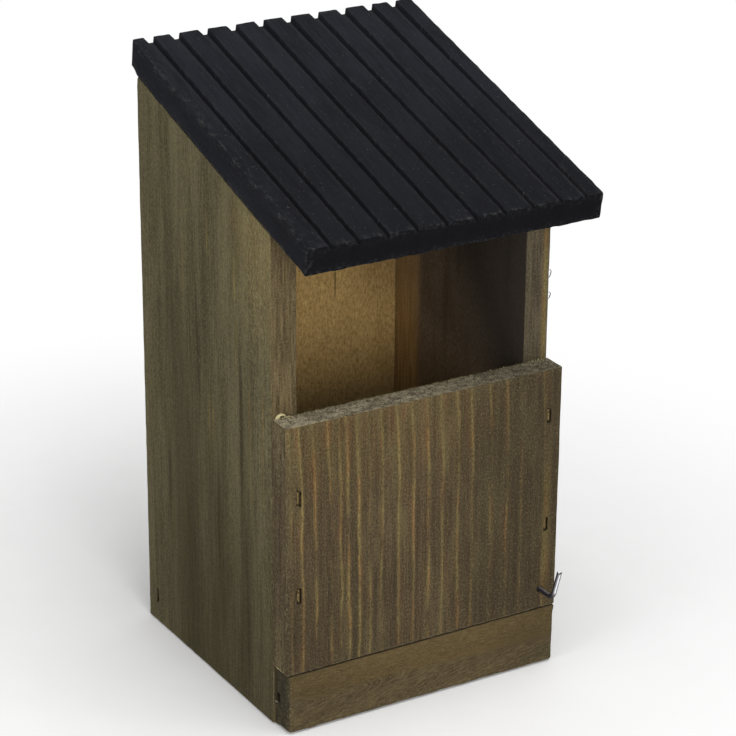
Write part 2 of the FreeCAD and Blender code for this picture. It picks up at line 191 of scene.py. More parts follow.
# %% [markdown]
# Shaped points become a Blender mesh in one go with from_pydata. The masks go along as named attributes,
# which the materials read. One more attribute, place, holds the board's own coordinates with the grain
# along its third number, so a single wood recipe suits upright, level and sloping boards. The piece then
# rides on its body and stands for the plain node.

# %% Turn a shaped board into a piece
SHARP = math.radians(50)
APART = 173.0


def piece(name, points, faces, masks=(), body="box", slot=None, nodes=()):
    """A mesh from points in mm, riding on a body."""
    mesh = bpy.data.meshes.new(name)
    mesh.from_pydata((np.asarray(points) * MM).tolist(), [], [list(face) for face in faces])
    mesh.polygons.foreach_set("use_smooth", np.ones(len(mesh.polygons), bool))
    for mask, values in dict(masks).items():
        kind, field = ("FLOAT_VECTOR", "vector") if np.ndim(values) == 2 else ("FLOAT", "value")
        data = mesh.attributes.new(mask, kind, "POINT").data
        data.foreach_set(field, np.ravel(values).astype(np.float32))
    mesh.update()
    mesh.set_sharp_from_angle(angle=SHARP)
    made = bpy.data.objects.new(name, mesh)
    bpy.context.scene.collection.objects.link(made)
    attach(made, body)
    if nodes:
        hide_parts(*nodes)
    return made


def finish_board(node, board, grain, slot, body="box"):
    """A board with its grain along one axis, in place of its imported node."""
    order = {0: (1, 2, 0), 1: (2, 0, 1), 2: (0, 1, 2)}[grain]
    board.masks.setdefault("place", board.flat[:, order] + APART * board.seed)
    board.masks.setdefault("end", smooth(np.abs(board.out[:, grain]), 0.55, 0.8))
    made = piece(node + "_wood", board.points, board.quads, board.masks, body, slot, (node,))
    print(f"{made.name}: {len(board.points)} points, on {body}")
    return made


# %% [markdown]
# The front panel shows most. Its early wood soaked up the stain and shrank, so the hard late wood of
# nineteen growth rings stands a little proud in yellow lines. They are wavy, drift to the right on their
# way down, and lie closer together on the left. A wave texture would be too even, so each ring has its own
# place, width and strength.

# %% Growth rings of the front panel
PANEL_RINGS = (
    (2.6, 1.0, 0.35), (7.5, 1.5, 0.85), (13.9, 1.2, 0.6), (20.7, 1.3, 0.6), (25.8, 0.9, 0.6),
    (29.6, 1.1, 1.0), (34.2, 1.1, 1.0), (39.6, 1.0, 0.65), (45.4, 1.2, 0.7), (53.0, 1.6, 0.8),
    (60.6, 1.4, 0.8), (67.9, 1.3, 1.0), (74.5, 1.6, 0.7), (82.4, 1.4, 0.8), (89.4, 1.4, 0.8),
    (98.4, 2.6, 0.6), (106.8, 1.4, 0.6), (114.1, 1.0, 0.5), (125.5, 3.6, 0.45),
)
RING_LANE = 37.0


def lane(along, number):
    """Points for lumps that change only along the grain, in a lane of their own."""
    return np.stack([np.full_like(along, number), along, 0 * along], axis=1)


def growth_rings(across, along, rings, drift, seed):
    """Late wood, its hard bright edge and the dark early wood past that edge, at each point of a board."""
    late, edge, dark = np.zeros((3, len(across)))
    for i, (place, width, strength) in enumerate(rings):
        walk = lane(along, RING_LANE * i)
        off = across - place - drift - 0.5 * lumps(walk, 21, seed) - 0.25 * lumps(walk, 6, seed + 1)
        if i % 3 == 0:
            off = -off
        level = strength * (0.7 + 0.6 * lumps(walk, 19, seed + 2) + 0.3 * lumps(walk, 4, seed + 3))
        shoulder = np.where(off < 0, np.exp(off / (0.9 * width)), np.exp(-off / 0.6))
        late = np.maximum(late, 0.55 * level * shoulder)
        edge = np.maximum(edge, 0.9 * level * hump(off, 0, 0.48))
        dark = np.maximum(dark, strength * hump(off, 1.3, 0.8))
    fade = 0.9 - 0.3 * smooth(across, 45, 75)
    return np.clip([fade * late, fade * edge, dark], 0, 1)


print("growth rings:", len(PANEL_RINGS))


# %% [markdown]
# Staples were shot a little below the surface. Each left a torn slit with its crown at the bottom, and the
# hook has a round hole. They could be cut with booleans, but here a few crowded grid lines and a depth at
# each point give the same pits with soft, ragged lips.

# %% Slits and holes
def crowd(middle, reach, step):
    """Extra grid lines round a small feature."""
    return np.arange(middle - reach, middle + reach + step / 2, step)


def slit(board, axes, face, middle, half, depth, seed):
    """Sink a ragged slit into one face of a board. Its size is given as half widths along two axes."""
    off = [np.abs(board.flat[:, axis] - at) / size for axis, at, size in zip(axes, middle, half)]
    ragged = 1 + 0.35 * lumps(board.flat, 1.3, seed)
    on_face = board.facing(*face)
    board.sink(depth * (smooth(ragged - np.maximum(*off), 0, 0.28) * on_face))
    # Painted shade in the slit and just round its lips.
    board.raise_mask("pit_shade", smooth(1.2 * ragged - np.maximum(*off), 0, 0.3) * on_face)


print("lines across a staple's slit:", len(crowd(0, 1.8, 0.2)))


# %% Front panel: blank and rings
STAPLE_OUT = 60.5
STAPLES_AT = ((-STAPLE_OUT, 63.0), (-STAPLE_OUT, 107.0), (STAPLE_OUT, 66.8), (STAPLE_OUT, 118.0))
TEAR_SEEDS = (20, 25, 27, 23)
TEAR_HALF, TEAR_DEPTH = (1.0, 3.1), 1.25
HOOK_AT = (58.5, 36.5)
HOOK_HOLE_HALF, HOOK_HOLE_DEPTH = (1.15, 1.15), 11.2
across_hook, along_hook = (crowd(place, 1.6, 0.16) for place in HOOK_AT)
across_staples = [crowd(place, 1.8, 0.2) for place in (-STAPLE_OUT, STAPLE_OUT)]
across_extra = np.concatenate(across_staples + [across_hook])
along_extra = np.concatenate([crowd(up, 4.6, 0.65) for _, up in STAPLES_AT] + [along_hook])
panel = from_node("front_panel", (0.5, 0.6, 2.4), 1.0, 11, (across_extra, (), along_extra), 0.45)
x, z, above_foot = panel.x, panel.z, panel.z - panel.low[2]
rise = above_foot / (panel.high[2] - panel.low[2])
drift = 0.9 * (0.5 - rise) - 1.3 * np.clip((rise - 0.74) / 0.26, 0, 1) ** 1.4
late, edge, dark = growth_rings(x - panel.low[0], z, PANEL_RINGS, drift, 5)
warm_patch = hump(x, 60.6, 1.8) * smooth(45 - np.abs(z - 67), 0, 30)
late = np.maximum(late, 0.45 * warm_patch)
late = 1 - (1 - late) * (1 - 0.17 * smooth(z, 88, 139) * smooth(-x, -45, 0))
print("rings cover", round(100 * float((late > 0.3).mean())), "percent of the panel's points")


# %% Front panel: stain, painted shade, wear and slits
front, behind, top = panel.facing(1, -1), panel.facing(1, 1), panel.facing(2, 1)
# Painted shade: darker over the right half of the face, a little less at its very end, and a little on the
# left, over the dark early wood.
panel.masks["streak_and_shade"] = np.maximum(0.3 * dark, 0.6 * smooth(x, -10, 40)) * front
panel.masks["streak_and_shade"] *= 1 - 0.35 * smooth(x, 45, 62)
panel.masks["streak_and_shade"] += 0.15 * front * smooth(-x, 15, 50)
panel.masks["edge"] = edge * front
panel.masks["ring"] = late * np.maximum(front, 0.6 * behind)
left = smooth(-x, 57, 66)
panel.masks["wear"] *= 0.1 + 0.9 * smooth(above_foot, 0.5, 4)
panel.raise_mask("wear", 3.0 * (hump(above_foot, 0, 0.8) * left))
panel.raise_mask("wear", 1.2 * (left * smooth(z, 100, 138)))
# Painted shade: the underside as dark as the gap below it, the top darker towards the right, and the face
# darker at its lower left and right end.
panel.masks["soak_and_shade"] = np.maximum(top * 0.5 * smooth(x, -20, 60), 0.75 * panel.facing(2, -1))
low_left = 0.17 * smooth(-z, -85, -40) * smooth(-x, -5, 35)
right_end = 0.24 * smooth(x, 48, 62) * smooth(z, 45, 70)
panel.raise_mask("soak_and_shade", front * np.maximum(low_left, right_end))
panel.sink(0.16 * (1 - np.maximum(late, edge)) * np.maximum(front, behind))
panel.sink(0.06 * (1 + lumps(panel.flat, (1.1, 1.1, 9), 12)))
sawn_top = 0.24 * (1 + lumps(panel.flat, 0.85, 13)) + 0.15 * (1 + lumps(panel.flat, 6, 14))
panel.sink(top * sawn_top)
for at, seed in zip(STAPLES_AT, TEAR_SEEDS):
    slit(panel, (0, 2), (1, -1), at, TEAR_HALF, TEAR_DEPTH, seed)
slit(panel, (0, 2), (1, -1), HOOK_AT, HOOK_HOLE_HALF, HOOK_HOLE_DEPTH, 30)
front_panel = finish_board("front_panel", panel, 2, "stained_front")


# %% [markdown]
# The sides are plainer: vertical grain with a few long dark streaks that taper at both ends, where resin
# kept the stain on the surface. Their tops follow the roof, so the points of a square blank are pressed
# down to the slope, and their top corner at the back is knocked off a little.

# %% Streaks in the grain
STREAK_LANE = 53.0


def streaks(across, along, marks, seed):
    """Long soft marks in the grain: place across, two ends along, width and strength of each."""
    total = np.zeros(len(across))
    for i, (place, start, end, width, strength) in enumerate(marks):
        walk = lane(along, STREAK_LANE * i)
        share = (along - start) / (end - start)
        taper = smooth(share, 0, 0.3) * smooth(1 - share, 0, 0.45)
        off = across - place - 1.1 * lumps(walk, 45, seed) - 0.25 * lumps(walk, 9, seed + 1)
        off = np.where(off < 0, 1.7 * off, off) / (width * (0.45 + 0.55 * taper))
        total = np.maximum(total, strength * taper * np.exp(-off * off))
    return total


def chance_streaks(count, width, length, seed):
    """Streaks for a face that has no special marks."""
    draw = np.random.default_rng(seed)
    starts = draw.uniform(-40, length, count)
    spans = draw.uniform(40, 130, count)
    return [
        (draw.uniform(0, width), start, start + span, draw.uniform(0.8, 3.2), draw.uniform(0.25, 0.8))
        for start, span in zip(starts, spans)
    ]


print("a chance streak:", np.round(chance_streaks(1, 100, 200, 1)[0], 1))


# %% Sloping tops and knocked corners
HALF_WIDTH, SIDE_DEPTH, SIDE_THICK = 66.5, 115, 12
FRONT_HEIGHT, BACK_HEIGHT = 216.5, 251.5


def slope_top(board, front, back):
    """Press a square blank down to a top that rises from a front height to a back height."""
    share = (board.points[:, 1] - board.low[1]) / (board.high[1] - board.low[1])
    board.points[:, 2] *= (front + (back - front) * share) / board.high[2]


def chip_off(board, corner, way, size):
    """Flatten a knocked corner of a board: all that stands past a plane is pressed back to it."""
    way = np.array(way, float) / np.linalg.norm(way)
    past = (board.points - corner) @ way + size
    past += 0.15 * size * lumps(board.flat, 2.2, 98)
    past = np.clip(past, 0, None) * (np.linalg.norm(board.points - corner, axis=1) < 5 * size)
    board.points -= past[:, None] * way
    board.raise_mask("wear", smooth(past, 0.05, 0.6))


print("the sides rise by", BACK_HEIGHT - FRONT_HEIGHT, "mm on", SIDE_DEPTH, "mm")


# %% Marks on the sides
SIDE_STAPLE_AT = (-8.5, 12.6)
SIDE_TEAR_HALF, SIDE_TEAR_DEPTH = (0.7, 3.2), 1.2
LEFT_MARKS = (
    (51.3, 112, 204, 1.7, 1.0), (51.8, 140, 182, 2.8, 0.6), (89, 92, 210, 1.9, 1.0),
    (94, 2, 86, 1.7, 0.95), (93, 56, 106, 1.3, 0.8), (68.3, 44, 126, 1.7, 1.0),
    (23, 56, 110, 1.3, 0.85), (17, 90, 205, 4.0, 0.4), (43, 0, 125, 6.0, 0.45),
    (71, 12, 85, 2.6, 0.4), (34, 120, 230, 1.8, 0.5), (8, 0, 150, 2.4, 0.4),
    (62, 0, 60, 4.0, 0.4), (104, 10, 90, 1.6, 0.5), (30, 60, 240, 7.0, 0.3), (58, 150, 225, 1.4, 0.4),
)
SIDE_SOAKED = (
    (36, -40, 230, 17, 0.5), (46, -150, 125, 26, 0.45), (89, -60, 190, 4, 0.4),
    (24, -40, 300, 7, 0.36), (67, -60, 190, 14, 0.42),
)
SIDE_SCUFFS = (
    (113, 10, 270, 11, 1.2), (104, 90, 290, 12, 0.8), (78, 40, 170, 6, 0.7),
    (3, 60, 300, 4, 0.5), (74, 130, 250, 4, 0.6), (102, 150, 330, 15, 1.4),
)
LEFT_FIBRES = (
    (61, 205, 232, 0.5, 0.8), (63.5, 200, 225, 0.4, 0.6), (61.5, 108, 150, 0.5, 0.8),
    (65, 112, 142, 0.4, 0.7), (84, 195, 225, 0.6, 0.7), (86, 150, 222, 0.5, 0.5),
    (97, 90, 190, 0.7, 0.5), (25, 40, 80, 0.5, 0.4), (108, 100, 200, 0.6, 0.5), (40, 170, 215, 0.5, 0.4),
)
print("left side:", len(LEFT_MARKS), "dark streaks,", len(LEFT_FIBRES), "pale fibres")


# %% Side boards
def paint_outside(board, outward, marks, fibres, seed):
    """Streaks, soaked places and scuffs on the outer face of a side,
    with painted shade at its foot and painted light at its top front.
    """
    forward, z, outside = -board.y, board.z, board.facing(0, outward)
    board.masks["streak_and_shade"] = streaks(forward, z, marks, seed) * np.maximum(outside, 0.5)
    board.masks["ring"] = streaks(forward, z, fibres, seed + 3) * outside
    # Painted shade: darker towards the foot.
    foot = 0.42 * smooth(-z, -150, -30) * (0.4 + 0.6 * smooth(forward, 8, 40))
    soak_and_shade = streaks(forward, z, SIDE_SOAKED, seed + 7) * outside
    board.masks["soak_and_shade"] = 1 - (1 - soak_and_shade) * (1 - foot * outside)
    # Painted light: a pale patch at the top front, drawn with the edge mask.
    board.masks["edge"] = 0.5 * outside * smooth(forward, 66, 108) * smooth(z, 165, 240)
    board.raise_mask("wear", streaks(forward, z, SIDE_SCUFFS, seed + 8) * outside)


def paint_inside(board, outward, seed):
    """The inner face of a side: warm next to the back panel, with painted shade to the front and the top.
    """
    forward, z, inside = -board.y, board.z, board.facing(0, -outward)
    board.masks["inner"] = inside
    # Painted shade over the inner face, stronger to the front and the top.
    inner_shade = 0.53 * smooth(forward + 0.8 * (z - 141), 60, 120)
    inner_shade += 0.38 * smooth(forward, 29, 36) * smooth(z, 130, 150)
    board.raise_mask("soak_and_shade", inside * inner_shade)
    ragged_line = 31 + 1.6 * lumps(board.flat, (40, 40, 30), seed + 5)
    ragged_line += 0.5 * lumps(board.flat, (40, 40, 5), seed + 6)
    board.masks["corner"] = inside * (1 - smooth(forward - ragged_line, -4.0, 3.0))
    # Painted shade dims the warm band higher up.
    board.masks["corner"] *= 1 - 0.4 * smooth(z, 132, 165)


def side_board(node, outward, marks, fibres, seed):
    """One side, with its staple's slit and its top cut to the slope."""
    extra = ((), crowd(SIDE_STAPLE_AT[0], 1.4, 0.2), crowd(SIDE_STAPLE_AT[1], 4.6, 0.5))
    board = from_node(node, (1.5, 0.9, 3.2), 0.8, seed, extra, 0.5)
    paint_outside(board, outward, marks, fibres, seed)
    paint_inside(board, outward, seed)
    board.masks["front_edge"] = board.facing(1, -1)
    if outward > 0:
        late = hump(board.x, 64.4, 1.1) * smooth(board.z, 143, 152)
        board.raise_mask("ring", 0.75 * late * board.masks["front_edge"])
    grain = 0.05 * (1 + lumps(board.flat, (1.2, 1.2, 12), seed))
    board.sink(grain + 0.06 * (1 + lumps(board.flat, (40, 9, 60), seed + 1)))
    board.sink(0.05 * board.masks["streak_and_shade"])
    tear_seed = seed + 7 + 3 * outward
    slit(board, (1, 2), (0, outward), SIDE_STAPLE_AT, SIDE_TEAR_HALF, SIDE_TEAR_DEPTH, tear_seed)
    board.square_off(2, 1)
    chip_off(board, (HALF_WIDTH * outward, 0, board.high[2]), (outward, 1.0, 0.4), 0.9)
    slope_top(board, FRONT_HEIGHT, BACK_HEIGHT)
    return finish_board(node, board, 2, "stained_side")


left_side = side_board("left_side", -1, LEFT_MARKS, LEFT_FIBRES, 41)
right_marks, right_fibres = chance_streaks(13, 115, 210, 7), chance_streaks(9, 115, 210, 8)
right_side = side_board("right_side", 1, right_marks, right_fibres, 47)


# %% [markdown]
# The back panel is seen through the open front. Its inside was only lightly stained, so short fibres show,
# and one fine crack stands high in the opening. The panel also has a round hole for a wall screw. That
# hole goes right through, so here a boolean cut is the simple way. The points that it adds round the cut
# get their masks afterwards.

# %% Back panel
CRACK_AT, CRACK_LOW, CRACK_HIGH = 22.7, 138.0, 163.0
BACK_SLOPE_FRONT = BACK_HEIGHT - SIDE_THICK * (BACK_HEIGHT - FRONT_HEIGHT) / SIDE_DEPTH
back = from_node("back_panel", (0.9, 2.0, 2.4), 0.7, 61, (crowd(CRACK_AT, 0.75, 0.15), (), ()), 0.5)
x, z, inside = back.x, back.z, back.facing(1, -1)
back.masks["inner"] = inside
back.masks["streak_and_shade"] = streaks(x + 54.5, z, chance_streaks(11, 109, 210, 9), 62) * (1 - inside)
crack = streaks(x, z, [(CRACK_AT, CRACK_LOW, CRACK_HIGH, 0.3, 1.0)], 63) * inside
# Painted shade in the crack.
back.masks["pit_shade"] = crack
grain = 0.05 * (1 + lumps(back.flat, (1.1, 1.1, 6), 64))
back.sink(grain + 0.05 * (1 + lumps(back.flat, (12, 40, 60), 65)))
back.sink(0.5 * crack)
# Painted shade: the inside darker high on the right, in the roof's shade, and low down, in the front
# panel's.
high_right = 0.36 * smooth(z, 120, 150) * smooth(x, 25, 45)
back.masks["soak_and_shade"] = inside * np.maximum(high_right, 0.32 * smooth(-z, -113, -88))
# Painted light: a pale band across the inside at mid height, drawn with the wear mask.
back.raise_mask("wear", inside * hump(z, 126, 11))
back.masks["wear"] *= 0.5
back.raise_mask("wear", 2.0 * inside * smooth(x, 53.2, 54.2))
back.square_off(2, 1)
slope_top(back, BACK_SLOPE_FRONT, BACK_HEIGHT)
back_panel = finish_board("back_panel", back, 2, "stained_back")


# %% The screw hole through the back
SCREW_HOLE_RADIUS, SCREW_HOLE_REACH, SCREW_HOLE_AT = 3.0, 9, (0.0, -6.0, 190.0)


def drill_bit(at, radius, reach, sides=40):
    """A round bar along Y, as the tool of a cut."""
    turn = np.linspace(0, 2 * math.pi, sides, endpoint=False)
    ring = np.stack([at[0] + radius * np.cos(turn), 0 * turn, at[2] + radius * np.sin(turn)], axis=1)
    ends = [ring + (0, at[1] + y, 0) for y in (-reach, reach)]
    walls = [(i, sides + i, sides + (i + 1) % sides, (i + 1) % sides) for i in range(sides)]
    caps = [list(range(sides)), list(range(sides, 2 * sides))[::-1]]
    mesh = bpy.data.meshes.new("drill")
    mesh.from_pydata((np.concatenate(ends) * MM).tolist(), [], walls + caps)
    drill = bpy.data.objects.new("drill", mesh)
    bpy.context.scene.collection.objects.link(drill)
    return drill


def bore(target, board, at, radius, reach):
    """Cut a round hole along Y through a piece, and give the points round the cut their masks."""
    drill = drill_bit(at, radius, reach)
    cut = target.modifiers.new("bore", "BOOLEAN")
    cut.object, cut.solver = drill, "EXACT"
    shaped = bpy.data.meshes.new_from_object(target.evaluated_get(bpy.context.evaluated_depsgraph_get()))
    target.modifiers.remove(cut)
    target.data = shaped
    bpy.data.objects.remove(drill)
    shaped.polygons.foreach_set("use_smooth", np.ones(len(shaped.polygons), bool))
    shaped.set_sharp_from_angle(angle=SHARP)
    masks = shaped.attributes
    added = [v.index for v in shaped.vertices if masks["place"].data[v.index].vector.length < 1]
    for i in added:
        spot = np.array(shaped.vertices[i].co) / MM
        masks["place"].data[i].vector = spot + APART * board.seed
        masks["inner"].data[i].value = float(spot[1] < at[1])
        # Painted shade inside the screw hole.
        masks["pit_shade"].data[i].value = 0.7
    return len(added)


added = bore(back_panel, back, SCREW_HOLE_AT, SCREW_HOLE_RADIUS, SCREW_HOLE_REACH)
print("back panel:", len(back_panel.data.vertices), "points,", added, "of them round the screw hole")


# %% [markdown]
# The floor slides out with its front strip, on two runners. The strip has level grain. Its upper part was
# planed and took a warm even stain, and the lower part was left from the saw, with fine slanting strokes.
# Its left end is dark end grain with a small chip.

# %% Front strip of the floor
STROKE_SLANT = 0.26
CHIP_AT, CHIP_SIZE, CHIP_DEPTH = (-65.5, -117.1, 13.6), (2.4, 1.9, 2.3), 2.2
strip = from_node("floor_front", (1.6, 0.8, 0.5), 2.3, 71, ((), (), ()), 0.4)
strip.square_off(2, 1, 0.7)
strip.square_off(1, 1)
strip.masks["end"] = smooth(np.abs(strip.out[:, 0]), 0.3, 0.97)
edge_line = 15.8 - 0.022 * (strip.x - strip.low[0]) + 0.9 * lumps(strip.flat, (16, 40, 40), 72)
edge_line += 0.3 * lumps(strip.flat, (4, 9, 9), 73)
planed = smooth(strip.z - edge_line, -2.5, 2.0)
strip.masks["ring"] = planed * strip.facing(1, -1)
strip.masks["place"] = strip.flat[:, (1, 2, 0)] + APART * strip.seed
strip.masks["place"][:, 1] -= (1 - planed) * STROKE_SLANT * strip.x
strip.masks["soak_and_shade"] = 0.22 * smooth(np.abs(strip.x), 20, 60) * (0.5 + 0.5 * planed)
strokes = np.stack([strip.x / 6, 0 * strip.x, (strip.z - STROKE_SLANT * strip.x) / 0.6], axis=1)
strip.sink(0.04 + (0.03 + 0.06 * (1 - planed)) * (1 + lumps(strokes, 1, 74)))
for end in (strip.low[0], strip.high[0]):
    chip_off(strip, (end, strip.low[1], 0), (np.sign(end), -0.5, -0.9), 1.0)
chip = 1 - np.linalg.norm((strip.flat - CHIP_AT) / CHIP_SIZE, axis=1)
chip = smooth(chip + 0.35 * lumps(strip.flat, 1.3, 75), 0, 0.4) * strip.facing(0, -1)
strip.sink(CHIP_DEPTH * chip)
# Painted shade in the chip.
strip.masks["pit_shade"] = smooth(chip, 0.05, 0.5)
strip_front = finish_board("floor_front", strip, 0, "stained_strip", "slide_out_floor")


# %% Floor and runners
def plain_board(node, slot, body, seed, steps):
    """A board with its grain from front to back and no special marks."""
    board = from_node(node, steps, 0.6, seed, ragged=0.5)
    board.masks["streak_and_shade"] = smooth(lumps(board.flat, (4, 60, 4), seed + 2), 0.1, 0.9) * 0.6
    board.sink(0.06 * (1 + lumps(board.flat, (1.2, 11, 1.2), seed + 1)))
    return finish_board(node, board, 1, slot, body)


floor_board = plain_board("floor_board", "stained_floor", "slide_out_floor", 81, (1.6, 3.0, 2.0))
left_runner = plain_board("left_runner", "stained_batten", "box", 83, (1.4, 3.0, 1.4))
right_runner = plain_board("right_runner", "stained_batten", "box", 85, (1.4, 3.0, 1.4))


# %% [markdown]
# The roof is one thick board with ten grooves down its slope, which grow wider and deeper towards the
# back. Its saw-cut skin was stained black before it was nailed on, and handling rounded its rims and
# chipped three corners. It is shaped flat, with its grooves sunk from the top. Then its left edge is
# spread to stand flush with the side below, both ends are leaned, and the whole is turned to the slope.

# %% Roof board and its grooves
SLOPE = math.atan((BACK_HEIGHT - FRONT_HEIGHT) / SIDE_DEPTH)
ROOF_WIDTH, ROOF_THICK, ROOF_FRONT, ROOF_BACK = 136.5, 12.0, 28.8, 7.8
ROOF_LONG = (SIDE_DEPTH + ROOF_BACK) / math.cos(SLOPE) + ROOF_FRONT
GROOVE_HALF = 2.1
GROOVE_FRONT, GROOVE_BACK = np.array([2.3, 2.3]), np.array([4.6, 2.9])
FIRST, STEP, OUTER_STEP = 20, 13.5, 12.1
inner_grooves = [FIRST + STEP * i for i in range(8)]
grooves = np.array([FIRST - OUTER_STEP] + inner_grooves + [inner_grooves[-1] + OUTER_STEP])
groove_rims = GROOVE_HALF + np.array([-0.8, -0.3, -0.07, 0.07, 0.3, 0.8])
groove_lines = np.ravel([groove + side * groove_rims for groove in grooves for side in (-1, 1)])
roof_size = (ROOF_WIDTH, ROOF_LONG, ROOF_THICK)
roof = Board((0, 0, 0), roof_size, (1.6, 1.4, 1.0), 0.8, 91, (groove_lines, (), ()), 0.5)
off = roof.x - grooves[np.argmin(np.abs(roof.x[:, None] - grooves), axis=1)]
from_wall = np.abs(off) - GROOVE_HALF
grooved = smooth(-from_wall, -0.07, 0.07)
to_back = roof.y / ROOF_LONG
width, depth = (GROOVE_FRONT + (GROOVE_BACK - GROOVE_FRONT) * to_back[:, None] ** 3.5).T
shallower_and_paler = smooth(roof.x, 60, 130) * (1 - to_back)
depth = depth * (1 - 0.3 * shallower_and_paler)
upper = roof.points[:, 2] / ROOF_THICK
widen = np.interp(off, (-6.7, -2.3, -1.9, 1.8), (0, 1, 1, 0))
roof.points[:, 2] -= upper * (depth * grooved + 0.15 * (1 - grooved) * np.exp(-from_wall / 0.3))
roof.points[:, 0] += upper * (2 * GROOVE_HALF - width) * widen
print("roof slope", round(math.degrees(SLOPE), 2), "degrees,", len(grooves), "grooves")


# %% Worn and sawn skin of the roof, with painted light and shade
topmost = smooth(upper, 0.85, 0.97)
lips = np.maximum(np.exp(-np.abs(from_wall) / 0.6), 1.7 * hump(roof.y, 0.5, 0.6))
left_face = roof.facing(0, -1)
# Painted light: the grooves are paler against their shade, most at the right front.
roof.masks["groove"] = topmost * grooved * smooth(roof.y, 0.8, 4) * (1 + 0.4 * shallower_and_paler)
roof.masks["lip"] = topmost * lips * (1 - grooved)
# Darker towards the front, and painted shade on the left face.
roof.masks["soak_and_shade"] = np.maximum(0.5 * smooth(1 - to_back, 0.1, 0.9), 0.4 * left_face)
roof.masks["wear"] *= 1 - 0.95 * grooved * smooth(upper, 0.5, 0.8)
wander = 0.25 * lumps(roof.flat * (0.03, 1, 0), 34, 92)
ripple = 0.12 * lumps(roof.flat * (0.4, 1, 0), 3, 93)
wander += ripple * smooth(2 - np.abs(from_wall), 0, 1)
roof.points[:, 0] += wander * smooth(np.minimum(roof.x, ROOF_WIDTH - roof.x), 0, 3)
ends = np.maximum(roof.facing(1, -1), roof.facing(1, 1))
sawn = 0.05 * (1 + lumps(roof.flat, 1.8, 94)) + 0.04 * (1 + lumps(roof.flat, (30, 1.6, 30), 95))
torn_ends = ends * 0.15 * (1 + lumps(roof.flat, 1.6, 96))
sawn += torn_ends + 0.2 * roof.masks["wear"] * (1 + lumps(roof.flat, 3.0, 97))
roof.sink(sawn)
print("the saw took up to", round(float(sawn.max()), 2), "mm")


# %% Corners, lean and slope of the roof
LEFT_SHORT, LEFT_OUT, LEFT_STRIP = 1.55, 1.54, 5.5
FRONT_LEAN, BACK_LEAN = 1.6, 2.3
chip_off(roof, (0, 0, ROOF_THICK), (-1.0, -1.0, 1.1), 2.2)
chip_off(roof, (0, ROOF_LONG, 0), (-0.6, 1.0, -1.4), 0.4)
chip_off(roof, (ROOF_WIDTH, 0, ROOF_THICK), (1.0, -0.7, 1.0), 0.8)
spread = LEFT_OUT * smooth(ROOF_LONG - roof.y, 0, 10) * np.clip(1 - roof.x / LEFT_STRIP, 0, 1)
roof.points[:, 0] -= spread * (1 - 0.55 * roof.z / ROOF_THICK * smooth(roof.y, 0, 40))
lean = FRONT_LEAN + (BACK_LEAN - FRONT_LEAN) * roof.points[:, 1] / ROOF_LONG
roof.points[:, 1] += lean * roof.points[:, 2] / ROOF_THICK
turned = np.array(Matrix.Rotation(SLOPE, 3, "X"))
corner_y = -SIDE_DEPTH - ROOF_FRONT * math.cos(SLOPE)
corner_z = FRONT_HEIGHT - ROOF_FRONT * math.sin(SLOPE)
roof.points = roof.points @ turned.T + (-HALF_WIDTH + LEFT_SHORT, corner_y, corner_z)
roof_board = finish_board("roof_board", roof, 1, "black_roof")


# %% [markdown]
# The hook is bent from zinc-plated wire. Its screw thread sits in the wood and fades out at the panel's
# face, its stem is plain and round, and its tip was cut with pliers that left a notch. A curve with a
# round bevel would give the wire but neither thread nor notch, so rings of points are swept along the
# bend. The thread is sunk into them as a winding groove, and those near the tip are pressed down to the
# notch.

# %% Sweeping a tube
# The way of the wire's painted highlight: points that face it get the highlighted mask.
HIGHLIGHT_WAY = np.array([-0.04, -0.75, 0.62])


def sweep(name, path, radii, sides, **kwargs):
    """A closed tube round a path in mm, with one radius for each ring or for each of its points.

    Its highlighted mask rises on the side that faces forward and up, for a painted highlight and painted
    shade on a wire."""
    path = np.asarray(path, float)
    along = np.gradient(path, axis=0)
    along /= np.linalg.norm(along, axis=1, keepdims=True)
    side = np.cross(along[0], (0.31, 0.17, 0.93))
    rings, outs = [], []
    turn = np.linspace(0, 2 * math.pi, sides, endpoint=False)
    radii = np.broadcast_to(np.reshape(radii, (len(path), -1)), (len(path), sides))
    for middle, way, radius in zip(path, along, radii):
        side = side - way * (side @ way)
        side /= np.linalg.norm(side)
        other = np.cross(way, side)
        outs.append(np.cos(turn)[:, None] * side + np.sin(turn)[:, None] * other)
        rings.append(middle + radius[:, None] * outs[-1])
    faces = []
    for start in range(0, (len(path) - 1) * sides, sides):
        for s in range(sides):
            t = (s + 1) % sides
            faces.append((start + s, start + t, start + sides + t, start + sides + s))
    last = (len(path) - 1) * sides
    faces += [tuple(range(sides))[::-1], tuple(range(last, last + sides))]
    highlighted = np.clip(np.concatenate(outs) @ HIGHLIGHT_WAY / np.linalg.norm(HIGHLIGHT_WAY), 0, 1)
    return piece(name, np.concatenate(rings), faces, {"highlighted": highlighted}, **kwargs)


print("tubes are rubbed on the side that faces", HIGHLIGHT_WAY)


